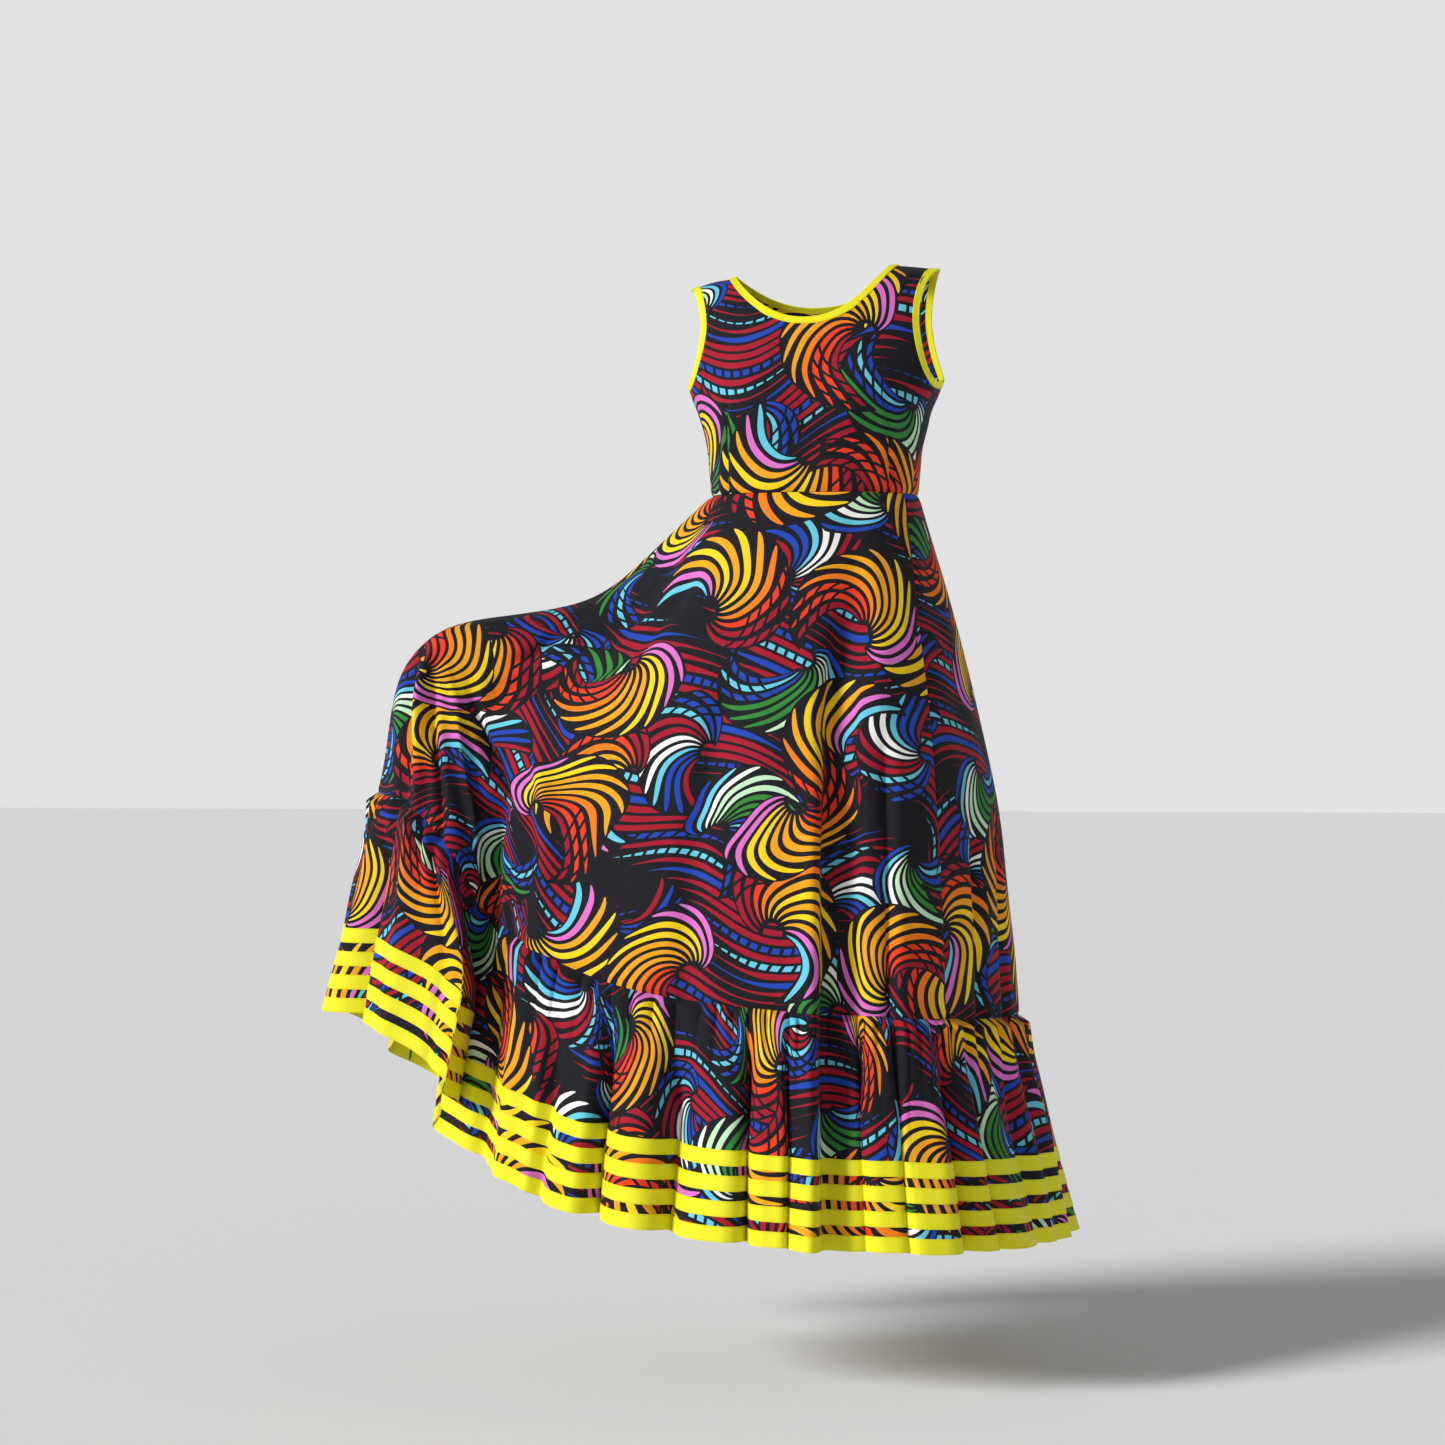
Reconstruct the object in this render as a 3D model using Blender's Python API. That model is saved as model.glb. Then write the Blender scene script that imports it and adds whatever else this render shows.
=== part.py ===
"""Sleeveless ankara wax print dress as hollow cloth solids at real size. Metres, +Z up.

The origin lies midway between the two neck points of the shoulder seams, where shoulders carry the dress.
+X is the wearer's left, -Y the front. The skirt stays lifted at the wearer's right, as if held by a hand.
Columns of cloth run from the centre back by the wearer's right side to the front; rows run downwards.
"""

import math

import bmesh
import bpy
import numpy as np

# Cloth
WALL = 0.0015
BINDING_WALL = 0.0025
RIBBON_WALL = 0.0010
SEAM_GAP = 0.0004
LAID_GAP = 0.0007  # between a panel and what is sewn flat onto it

# Bodice
WAIST_Z = -0.315
WAIST_HALF_WIDTH = 0.1455
WAIST_HALF_DEPTH = 0.110
SHOULDER_ROLL = 0.060  # height over which the sections close to the shoulder line
ROLL_LENGTH = 0.115  # length of the cloth over that height
SHOULDER_SLOPE = 0.17
SHOULDER_TILT = 0.060  # the side of the lifting arm hangs lower
SECTION_POWER = 2.35
NECK_HALF_WIDTH = 0.1095
NECK_DEPTH_FRONT = 0.074
NECK_DEPTH_BACK = 0.040
NECK_POWER = 2.2
SIDE_SEAM_DEG = 16.0  # the bodice side seams lie this far forward of the sides
BUST_FULLNESS = 0.012
BUST_X = 0.080
BUST_Z = -0.190
BUST_SPREAD = 0.060
BINDING_WIDTH = 0.010
SHOULDER_CELLS = 3
NECK_CELLS = 6
SIDE_ROWS = 4  # from the underarm to the waist
METRES_PER_DEGREE = 0.003  # round the bodice
EVENING_ROUNDS = 600

BODICE_SECTIONS = np.array([
    # height, half width, front depth, back depth
    (0.000, 0.196, 0.088, 0.086),
    (-0.060, 0.192, 0.093, 0.094),
    (-0.110, 0.189, 0.104, 0.104),
    (-0.155, 0.180, 0.114, 0.108),
    (-0.200, 0.163, 0.117, 0.106),
    (-0.260, 0.1495, 0.113, 0.104),
    (WAIST_Z, WAIST_HALF_WIDTH, WAIST_HALF_DEPTH, WAIST_HALF_DEPTH),
])
ARMHOLE_EDGE = np.array([
    # front height, front angle, back height, back angle, from the underarm to the shoulder tip
    (-0.160, 16.0, -0.160, 16.0),
    (-0.146, 28.0, -0.155, -3.0),
    (-0.121, 35.5, -0.141, -19.0),
    (-0.090, 40.0, -0.114, -30.5),
    (-0.060, 40.5, -0.081, -36.0),
    (-0.034, 38.5, -0.050, -37.0),
    (-0.014, 35.0, -0.022, -34.5),
    (-0.003, 31.0, -0.005, -31.0),
    (0.000, 28.2, 0.000, -28.2),
])
WAIST_SPREAD_FRONT = (SIDE_SEAM_DEG, 44.0, 90.0)  # waist angles under the underarm, neck point and centre
WAIST_SPREAD_BACK = (SIDE_SEAM_DEG, -25.0, -90.0)

# Skirt
HIP_SHARE = 0.29  # shares of the skirt's length
GRIP_SHARE = 0.61
FLARE_POWER = 1.7
GRIP = np.array((-0.526, -0.060, -0.515))
LIFTED_HIP = np.array((-0.292, -0.012, -0.455))
GRIP_KEEP = 0.30  # share of its spread that the cloth keeps in the grip
HIP_KEEP = 0.85
GRIP_PLACE = 9.0  # counted in folds
SKIRT_ROWS = (0.0, 0.05, 0.12, 0.20, 0.29, 0.40, 0.51, 0.61, 0.74, 1.0)

FOLDS = np.array([
    # waist angle, foot x, foot y, foot z, lift by the grip, depth of the ruffle's valley after it,
    # how far that valley is moved along, counted in folds
    (0, 0.000, 0.268, -1.030, 0.00, 0.046, 0.00),
    (17, -0.108, 0.258, -1.020, 0.00, 0.052, 0.10),
    (33, -0.212, 0.233, -1.001, 0.00, 0.044, -0.12),
    (47, -0.312, 0.200, -0.978, 0.00, 0.050, 0.05),
    (60, -0.402, 0.157, -0.948, 0.15, 0.046, -0.08),
    (71, -0.486, 0.112, -0.905, 0.45, 0.046, 0.06),
    (81, -0.562, 0.088, -0.825, 0.85, 0.040, 0.00),
    (89, -0.630, 0.042, -0.740, 1.00, 0.036, 0.05),
    (96, -0.612, -0.030, -0.733, 1.00, 0.044, 0.04),
    (104, -0.552, -0.098, -0.748, 1.00, 0.008, 0.15),
    (113, -0.490, -0.130, -0.813, 0.85, 0.010, 0.00),
    (123, -0.433, -0.105, -0.905, 0.50, 0.054, -0.15),
    (135, -0.350, -0.180, -0.947, 0.15, 0.010, -0.05),
    (147, -0.267, -0.215, -0.978, 0.00, 0.052, -0.15),
    (159, -0.187, -0.235, -0.996, 0.00, 0.036, 0.00),
    (170, -0.105, -0.245, -1.006, 0.00, 0.054, 0.18),
    (181, -0.030, -0.252, -1.013, 0.00, 0.028, -0.05),
    (191, 0.026, -0.250, -1.018, 0.00, 0.010, 0.00),
    (202, 0.076, -0.214, -1.022, 0.00, 0.046, -0.25),
    (214, 0.122, -0.230, -1.022, 0.00, 0.036, -0.38),
    (228, 0.160, -0.208, -1.026, 0.00, 0.042, 0.18),
    (242, 0.197, -0.168, -1.029, 0.00, 0.026, -0.12),
    (256, 0.240, -0.105, -1.034, 0.00, 0.018, -0.05),
    (270, 0.272, -0.030, -1.037, 0.00, 0.046, 0.05),
    (287, 0.281, 0.060, -1.040, 0.00, 0.050, -0.08),
    (309, 0.232, 0.165, -1.040, 0.00, 0.046, 0.10),
    (334, 0.125, 0.241, -1.037, 0.00, 0.052, 0.00),
])
FOLD_COUNT = len(FOLDS)
SIDE_SEAM_RIGHT = 6  # counted in folds: behind the lifted cloth
SIDE_SEAM_LEFT = 21
SKIRT_COLUMNS_PER_FOLD = 3

# Ruffle and ribbons
RUFFLE_LENGTH = 0.314
RUFFLE_FLARE = 0.085
WAVE_GROWN = 0.60  # share of the ruffle's length at which its waves are full
VALLEY_POWER = 1.4  # over 1, so that the waves are broad and the valleys between them narrow
WAVE_SKEW = 0.09  # folds by which a wave leans, so that it has a long side and a short one
GATHER_DEPTH = 0.0045
GATHER_FADE = 0.22
GATHER_START = 0.035
RUFFLE_COLUMNS_PER_FOLD = 6
RIBBON_COUNT = 4
RIBBON_WIDTH = 0.0205
RIBBON_PITCH = 0.0335
RIBBON_MARGIN = 0.003
BAND_ZONE = (RIBBON_COUNT - 1) * RIBBON_PITCH + RIBBON_WIDTH + RIBBON_MARGIN
BAND_START = 1.0 - BAND_ZONE / RUFFLE_LENGTH
RUFFLE_ROWS = (0.0, GATHER_START, 0.12, 0.32, BAND_START, 1.0)

# Zip at the centre back
TAPE_HALF_WIDTH = 0.009
TAPE_WALL = 0.0010
TAPE_SKIRT_ROWS = 4
SLIDER_SIZE = (0.006, 0.010, 0.0014)  # across, along, thick
SLIDER_GAP = 0.0003  # between the slider and the seam that it rides on
EAR_WALL = 0.001
EAR_LENGTH = 0.004
PIN_HEIGHT = 0.0022  # of the pin's axis over the slider's plate
PIN_RADIUS = 0.0007
EYE_RADIUS = 0.0018
EYE_WIDTH = 0.0032
CLEARANCE = 0.0003
NECK_LENGTH = 0.004
PULL_LENGTH = 0.026
PULL_WIDTH = 0.0055
PULL_WALL = 0.0011
PULL_LEAN_DEG = 6.0

# Colours: red, green, blue, roughness, metallic
PRINT = (0.120, 0.030, 0.045, 0.80, 0.0)
YELLOW = (0.830, 0.800, 0.030, 0.55, 0.0)
BLACK_TAPE = (0.010, 0.010, 0.012, 0.85, 0.0)
BLACK_METAL = (0.020, 0.020, 0.022, 0.35, 0.9)


def clear_scene():
    for obj in list(bpy.data.objects):
        bpy.data.objects.remove(obj, do_unlink=True)


def make_material(name, look):
    material = bpy.data.materials.new(name)
    material.use_nodes = True
    shader = material.node_tree.nodes["Principled BSDF"]
    shader.inputs["Base Color"].default_value = (*look[:3], 1.0)
    shader.inputs["Roughness"].default_value = look[3]
    shader.inputs["Metallic"].default_value = look[4]
    material.diffuse_color = (*look[:3], 1.0)
    return material


def unit(vectors):
    length = np.linalg.norm(vectors, axis=-1, keepdims=True)
    return vectors / np.maximum(length, 1e-12)


def ease(share):
    share = np.clip(share, 0.0, 1.0)
    return share * share * (3 - 2 * share)


def through(knots, values, at):
    """Smooth curve through the rows of values, which stand at rising knots."""
    knots = np.asarray(knots, float)
    values = np.asarray(values, float)
    at = np.clip(np.asarray(at, float), knots[0], knots[-1])
    slopes = np.gradient(values, knots, axis=0)
    left = np.clip(np.searchsorted(knots, at, side="right") - 1, 0, len(knots) - 2)
    step = knots[left + 1] - knots[left]
    share = (at - knots[left]) / step
    if values.ndim > 1:
        share = share[..., None]
        step = step[..., None]
    return (
        values[left] * (2 * share**3 - 3 * share**2 + 1)
        + slopes[left] * step * (share**3 - 2 * share**2 + share)
        + values[left + 1] * (3 * share**2 - 2 * share**3)
        + slopes[left + 1] * step * (share**3 - share**2)
    )


def around(values, place):
    """Smooth closed curve through values, one row for each fold, at places counted in folds."""
    values = np.asarray(values, float)
    place = np.asarray(place, float)
    first = np.floor(place).astype(int)
    share = place - first
    if values.ndim > 1:
        share = share[..., None]
    before, here, after, beyond = (values[(first + step) % FOLD_COUNT] for step in (-1, 0, 1, 2))
    return 0.5 * (
        2 * here
        + (after - before) * share
        + (2 * before - 5 * here + 4 * after - beyond) * share**2
        + (3 * here - before - 3 * after + beyond) * share**3
    )


def wall_faces(rows, columns, ring):
    """Faces of a wall whose outer grid comes before its inner grid."""
    inner = rows * columns

    def corner(row, column, side=0):
        return side + row * columns + column % columns

    faces = []
    spans = columns if ring else columns - 1
    for row in range(rows - 1):
        for column in range(spans):
            a = corner(row, column)
            b = corner(row + 1, column)
            c = corner(row + 1, column + 1)
            d = corner(row, column + 1)
            faces.append((a, b, c, d))
            faces.append((a + inner, d + inner, c + inner, b + inner))
    for column in range(spans):
        a, d = corner(0, column), corner(0, column + 1)
        b, c = corner(rows - 1, column), corner(rows - 1, column + 1)
        faces.append((a, d, d + inner, a + inner))
        faces.append((c, b, b + inner, c + inner))
    if not ring:
        for row in range(rows - 1):
            a, b = corner(row, 0), corner(row + 1, 0)
            d, c = corner(row, columns - 1), corner(row + 1, columns - 1)
            faces.append((b, a, a + inner, b + inner))
            faces.append((d, c, c + inner, d + inner))
    return faces


def make_object(name, bm, material, collection):
    mesh = bpy.data.meshes.new(name)
    bm.to_mesh(mesh)
    bm.free()
    mesh.materials.append(material)
    mesh.shade_smooth()
    mesh.set_sharp_from_angle(angle=math.radians(50))
    obj = bpy.data.objects.new(name, mesh)
    collection.objects.link(obj)
    return obj


def make_wall(name, outer, inner, look, collection, ring=False):
    """A closed wall between two grids of points, each of rows by columns."""
    rows, columns = outer.shape[:2]
    bm = bmesh.new()
    for point in np.concatenate([outer.reshape(-1, 3), inner.reshape(-1, 3)]):
        bm.verts.new(point)
    bm.verts.ensure_lookup_table()
    for face in wall_faces(rows, columns, ring):
        bm.faces.new([bm.verts[index] for index in face])
    # Both sides of a bent cell are split along the same diagonal, so the wall keeps its thickness.
    bmesh.ops.triangulate(bm, faces=bm.faces, quad_method="FIXED")
    if bm.calc_volume(signed=True) < 0:
        bmesh.ops.reverse_faces(bm, faces=bm.faces)
    return make_object(name, bm, make_material(name, look), collection)


def trim_sides(grid, gap=SEAM_GAP / 2):
    """The grid with its first and last column moved in by half a seam's gap."""
    grid = grid.copy()
    grid[:, 0] += gap * unit(grid[:, 1] - grid[:, 0])
    grid[:, -1] += gap * unit(grid[:, -2] - grid[:, -1])
    return grid


def panel(name, outer, normals, look, collection, wall=WALL):
    """A cloth panel between two seams, from its outer points and their normals."""
    inner = outer - wall * normals
    return make_wall(name, trim_sides(outer), trim_sides(inner), look, collection)


# The bodice's surface is mapped by an angle, 0 at +X and 90 at the centre front, and by a level:
# the height over the start of the shoulder roll, and above that the length along the roll.


def level_of(height):
    height = np.asarray(height, float)
    rise = np.clip(1 + height / SHOULDER_ROLL, 0.0, 1.0)
    on_roll = ROLL_LENGTH * np.arcsin(rise) * 2 / math.pi
    return np.where(height < -SHOULDER_ROLL, height + SHOULDER_ROLL, on_roll)


def bodice_section(height):
    return through(-BODICE_SECTIONS[:, 0], BODICE_SECTIONS[:, 1:], -np.asarray(height, float))


def torso(angle, level, tilt=SHOULDER_TILT):
    """Points of the bodice's outer face."""
    angle = np.radians(np.asarray(angle, float))
    level = np.asarray(level, float)
    roll = np.clip(level / ROLL_LENGTH, 0.0, 1.0) * math.pi / 2
    height = np.where(level < 0, level - SHOULDER_ROLL, SHOULDER_ROLL * (np.sin(roll) - 1))
    half_width, front, back = np.moveaxis(bodice_section(height), -1, 0)
    across = np.sign(np.cos(angle)) * np.abs(np.cos(angle)) ** (2 / SECTION_POWER)
    forward = np.sign(np.sin(angle)) * np.abs(np.sin(angle)) ** (2 / SECTION_POWER)
    x = half_width * across
    y = -np.where(forward > 0, front, back) * forward * np.cos(roll)
    distance = ((np.abs(x) - BUST_X) ** 2 + (height - BUST_Z) ** 2) / BUST_SPREAD**2
    y = y - BUST_FULLNESS * np.exp(-distance) * ease(forward)
    near_shoulder = ease(1 - height / ARMHOLE_EDGE[0, 0])
    fall = SHOULDER_SLOPE * np.maximum(np.abs(x) - NECK_HALF_WIDTH, 0.0)
    z = height - near_shoulder * (fall - tilt * x)
    return np.stack([x, y, z], axis=-1)


def torso_frame(angle, level, tilt=SHOULDER_TILT):
    """Derivatives of torso by angle and by level, and its outward normal."""
    turn = 0.5
    rise = 0.0005
    by_angle = (torso(angle + turn, level, tilt) - torso(angle - turn, level, tilt)) / (2 * turn)
    upper = np.minimum(level + rise, ROLL_LENGTH)
    by_level = torso(angle, upper, tilt) - torso(angle, level - rise, tilt)
    by_level = by_level / (upper - level + rise)[..., None]
    return by_angle, by_level, unit(np.cross(by_level, by_angle))


def moved_from_opening(angle, level, distance):
    """A closed edge, moved into the cloth by a distance along the surface and square to the edge.

    It is worked out on the level shoulders, so that both sides of the dress are cut alike.
    """
    points = torso(angle, level, tilt=0.0)
    tangent = np.roll(points, -1, axis=0) - np.roll(points, 1, axis=0)
    by_angle, by_level, normal = torso_frame(angle, level, tilt=0.0)
    inward = unit(np.cross(normal, tangent))
    if (inward * (points - points.mean(axis=0))).sum() < 0:
        inward = -inward
    moved_angle = angle.copy()
    moved_level = level.copy()
    for index in range(len(angle)):
        basis = np.stack([by_angle[index], by_level[index]], axis=1)
        share = np.linalg.lstsq(basis, distance * inward[index], rcond=None)[0]
        moved_angle[index] += share[0]
        moved_level[index] += share[1]
    return moved_angle, np.minimum(moved_level, ROLL_LENGTH)


def armhole_loop():
    """Angle and level of the armhole at +X: underarm, front, shoulder tip, back."""
    front_height, front_angle, back_height, back_angle = ARMHOLE_EDGE.T
    angle = np.concatenate([front_angle, back_angle[-2:0:-1]])
    height = np.concatenate([front_height, back_height[-2:0:-1]])
    return angle, level_of(height)


def neck_quarter(depth, sign):
    """Angle and level of the neckline from the neck point to the centre."""
    share = np.sin(np.linspace(1, 0, NECK_CELLS + 1) * math.pi / 2)
    height = -depth * (1 - share**NECK_POWER)
    half_width = bodice_section(height)[:, 0]
    across = (NECK_HALF_WIDTH * share / half_width) ** (SECTION_POWER / 2)
    return sign * np.degrees(np.arccos(across)), level_of(height)


def neck_loop():
    """Angle and level of the neckline: +X neck point, front, -X neck point, back."""
    front_angle, front_level = neck_quarter(NECK_DEPTH_FRONT, 1)
    back_angle, back_level = neck_quarter(NECK_DEPTH_BACK, -1)
    angle = np.concatenate([
        front_angle,
        180 - front_angle[-2::-1],
        180 - back_angle[1:],
        (back_angle[-2:0:-1]) + 360,
    ])
    level = np.concatenate([front_level, front_level[-2::-1], back_level[1:], back_level[-2:0:-1]])
    return angle, level


def evened(grid):
    """An angle and level grid whose inner points are spread evenly, with no column or row crossing another."""
    grid = grid * np.array([METRES_PER_DEGREE, 1.0])[:, None, None]
    for _ in range(EVENING_ROUNDS):
        along = (grid[:, 1:-1, 2:] - grid[:, 1:-1, :-2]) / 2
        down = (grid[:, 2:, 1:-1] - grid[:, :-2, 1:-1]) / 2
        skew = (grid[:, 2:, 2:] - grid[:, :-2, 2:] - grid[:, 2:, :-2] + grid[:, :-2, :-2]) / 4
        along_square = (along**2).sum(axis=0)
        down_square = (down**2).sum(axis=0)
        both = (along * down).sum(axis=0)
        sideways = grid[:, 1:-1, 2:] + grid[:, 1:-1, :-2]
        upright = grid[:, 2:, 1:-1] + grid[:, :-2, 1:-1]
        grid[:, 1:-1, 1:-1] = (down_square * sideways + along_square * upright - 2 * both * skew) / (
            2 * (along_square + down_square)
        )
    return grid / np.array([METRES_PER_DEGREE, 1.0])[:, None, None]


def bodice_half(front, armhole, neck):
    """Angles and levels of one half panel at +X: columns from the side to the centre, rows from the top."""
    cells = len(ARMHOLE_EDGE) - 1
    if front:
        arm = [values[cells::-1] for values in armhole]
        throat = [values[: NECK_CELLS + 1] for values in neck]
        waist_spread = WAIST_SPREAD_FRONT
    else:
        arm = [np.append(values[cells:], values[0]) for values in armhole]
        arm[0][0] *= -1
        throat = [np.append(values[:1], values[: -NECK_CELLS - 1:-1]) for values in neck]
        throat[0][0] *= -1
        throat[0][1:] -= 360
        waist_spread = WAIST_SPREAD_BACK
    tip, underarm = arm[0][0], (arm[0][-1], arm[1][-1])
    on_shoulder = np.linspace(tip, throat[0][0], SHOULDER_CELLS + 1)[:-1]
    top = np.stack([
        np.append(on_shoulder, throat[0]),
        np.append(np.full(SHOULDER_CELLS, ROLL_LENGTH), throat[1]),
    ])
    waist_level = WAIST_Z + SHOULDER_ROLL + SEAM_GAP / 2
    down_side = np.linspace(0, 1, SIDE_ROWS + 1)[1:]
    side = np.stack([
        np.append(arm[0], underarm[0] + down_side * (SIDE_SEAM_DEG - underarm[0])),
        np.append(arm[1], underarm[1] + down_side * (waist_level - underarm[1])),
    ])
    columns, rows = top.shape[1], side.shape[1]
    marks = (0, SHOULDER_CELLS, columns - 1)
    bottom = np.stack([np.interp(np.arange(columns), marks, waist_spread), np.full(columns, waist_level)])
    down = np.linspace(0, 1, rows)
    centre = np.stack([np.full(rows, top[0, -1]), top[1, -1] + down * (waist_level - top[1, -1])])
    across = np.linspace(0, 1, columns)
    down = down[:, None]
    # The first guess blends the four edges; evening it keeps the edges as they are.
    grid = (
        side[:, :, None] * (1 - across)
        + centre[:, :, None] * across
        + top[:, None] * (1 - down)
        + bottom[:, None] * down
        - top[:, :1, None] * (1 - across) * (1 - down)
        - top[:, -1:, None] * across * (1 - down)
        - bottom[:, :1, None] * (1 - across) * down
        - bottom[:, -1:, None] * across * down
    )
    grid = evened(grid)
    grid[1] = np.minimum(grid[1], ROLL_LENGTH - SEAM_GAP / 2)
    return grid


def mirrored(grid):
    """The same half at -X, running the other way."""
    return np.stack([180 - grid[0], grid[1]])[:, :, ::-1]


def make_bodice(collection):
    armhole = armhole_loop()
    neck = neck_loop()
    inner_armhole = moved_from_opening(*armhole, BINDING_WIDTH + SEAM_GAP)
    inner_neck = moved_from_opening(*neck, BINDING_WIDTH + SEAM_GAP)
    front = bodice_half(True, inner_armhole, inner_neck)
    back = bodice_half(False, inner_armhole, inner_neck)
    whole_front = np.concatenate([front, mirrored(front)[:, :, 1:]], axis=2)
    halves = {
        "bodice_front": whole_front,
        "bodice_back_left": back,
        "bodice_back_right": mirrored(back),
    }
    for name, grid in halves.items():
        panel(name, torso(*grid), torso_frame(*grid)[2], PRINT, collection)
    left_armhole = (180 - armhole[0], armhole[1])
    loops = {"neck_binding": neck, "armhole_binding_left": armhole, "armhole_binding_right": left_armhole}
    for name, edge in loops.items():
        bound = moved_from_opening(*edge, BINDING_WIDTH)
        rows = np.stack([np.stack([edge[0], bound[0]]), np.stack([edge[1], bound[1]])])
        points = torso(*rows)
        normals = torso_frame(*rows)[2]
        proud = (BINDING_WALL - WALL) / 2
        outer = points + proud * normals
        make_wall(name, outer, outer - BINDING_WALL * normals, YELLOW, collection, ring=True)
    return back


# Skirt and ruffle are mapped by a place round the dress, counted in folds, and a share of their length.


def waist_ring(place):
    place = np.asarray(place, float)
    turn = 360.0 / FOLD_COUNT
    swing = around(FOLDS[:, 0] - turn * np.arange(FOLD_COUNT), place)
    angle = np.radians(swing + turn * place)
    level = np.full(place.shape, WAIST_Z)
    # A centre back angle of 0 here is 270 on the bodice, and it runs the other way.
    return torso(270 - np.degrees(angle), level + SHOULDER_ROLL)


def skirt(place, share):
    """Points of the skirt's outer face; place and share have the same shape."""
    place = np.asarray(place, float)
    share = np.asarray(share, float)

    def plain(where, part):
        waist = waist_ring(where)
        foot = around(FOLDS[:, 1:4], where)
        spread = 1 - (1 - part) ** FLARE_POWER
        return waist + (foot - waist) * np.array([spread, spread, part])

    def drawn(part, pull, keep):
        here = plain(place, part)
        held = plain(np.array(GRIP_PLACE), part)
        lift = around(FOLDS[:, 4], place)[..., None]
        return here + lift * (pull + keep * (here - held) - here)

    knots = np.array([0.0, HIP_SHARE, GRIP_SHARE, 1.0])
    guides = np.stack([
        plain(place, 0.0),
        drawn(HIP_SHARE, LIFTED_HIP, HIP_KEEP),
        drawn(GRIP_SHARE, GRIP, GRIP_KEEP),
        plain(place, 1.0),
    ])
    slopes = np.gradient(guides, knots, axis=0)
    left = np.clip(np.searchsorted(knots, share, side="right") - 1, 0, 2)
    step = (knots[left + 1] - knots[left])[..., None]
    part = (share[..., None] - knots[left][..., None]) / step
    rows = np.indices(left.shape)
    first = guides[(left, *rows)]
    second = guides[(left + 1, *rows)]
    first_slope = slopes[(left, *rows)] * step
    second_slope = slopes[(left + 1, *rows)] * step
    return (
        first * (2 * part**3 - 3 * part**2 + 1)
        + first_slope * (part**3 - 2 * part**2 + part)
        + second * (3 * part**2 - 2 * part**3)
        + second_slope * (part**3 - part**2)
    )


def outwards(place):
    """Level direction square to the skirt's foot, evened over the neighbouring folds."""
    foot = FOLDS[:, 1:3]
    tangent = np.roll(foot, -2, axis=0) - np.roll(foot, 2, axis=0)
    normal = unit(np.stack([tangent[:, 1], -tangent[:, 0], np.zeros(FOLD_COUNT)], axis=-1))
    return unit(around(normal, place))


def wave_phase(place):
    """Place moved so that each valley of the ruffle stands where the table puts it."""
    middles = np.arange(-1, FOLD_COUNT + 1) + 0.5
    stands = middles + np.concatenate([FOLDS[-1:, 6], FOLDS[:, 6], FOLDS[:1, 6]])
    phase = through(stands, middles, place)
    return phase + WAVE_SKEW * (1 - np.cos(2 * math.pi * phase)) / 2


def ruffle(place, share, foot):
    """Points of the ruffle's outer face under the given points of the skirt's foot."""
    fall = math.sqrt(RUFFLE_LENGTH**2 - RUFFLE_FLARE**2)
    flare = RUFFLE_FLARE * share**0.85
    phase = wave_phase(place)
    dip = around(FOLDS[:, 5], phase - 0.5) * ease(share / WAVE_GROWN)
    valley = dip * ((1 - np.cos(2 * math.pi * phase)) / 2) ** VALLEY_POWER
    puff = GATHER_DEPTH * np.minimum(share / GATHER_START, 1.0) * np.exp(-share / GATHER_FADE)
    gather = puff * np.cos(math.pi * RUFFLE_COLUMNS_PER_FOLD * place)
    out = (flare - valley + puff + gather)[..., None] * outwards(place)
    down = np.array([0.0, 0.0, -1.0]) * (fall * share)[..., None]
    return foot + out + down


def ring_normals(points):
    """Outward normals of a grid that closes on itself round the dress."""
    along = np.roll(points, -1, axis=1) - np.roll(points, 1, axis=1)
    down = np.gradient(points, axis=0)
    return unit(np.cross(down, along))


def columns_between(first, last, per_fold):
    return np.arange(first * per_fold, last * per_fold + 1)


def take_columns(grid, columns):
    return grid[:, columns % grid.shape[1]]


def make_skirt(collection):
    count = FOLD_COUNT * SKIRT_COLUMNS_PER_FOLD
    place, share = np.meshgrid(np.arange(count) / SKIRT_COLUMNS_PER_FOLD, SKIRT_ROWS)
    points = skirt(place, share)
    normals = ring_normals(points)
    points[0, :, 2] -= SEAM_GAP / 2
    seams = {
        "skirt_back_right": (0, SIDE_SEAM_RIGHT),
        "skirt_front": (SIDE_SEAM_RIGHT, SIDE_SEAM_LEFT),
        "skirt_back_left": (SIDE_SEAM_LEFT, FOLD_COUNT),
    }
    for name, ends in seams.items():
        columns = columns_between(*ends, SKIRT_COLUMNS_PER_FOLD)
        panel(name, take_columns(points, columns), take_columns(normals, columns), PRINT, collection)
    return points, normals


def finer(row):
    """A closed row with a point added in the middle of each span."""
    middle = (row + np.roll(row, -1, axis=0)) / 2
    return np.stack([row, middle], axis=1).reshape(-1, 3)


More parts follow.
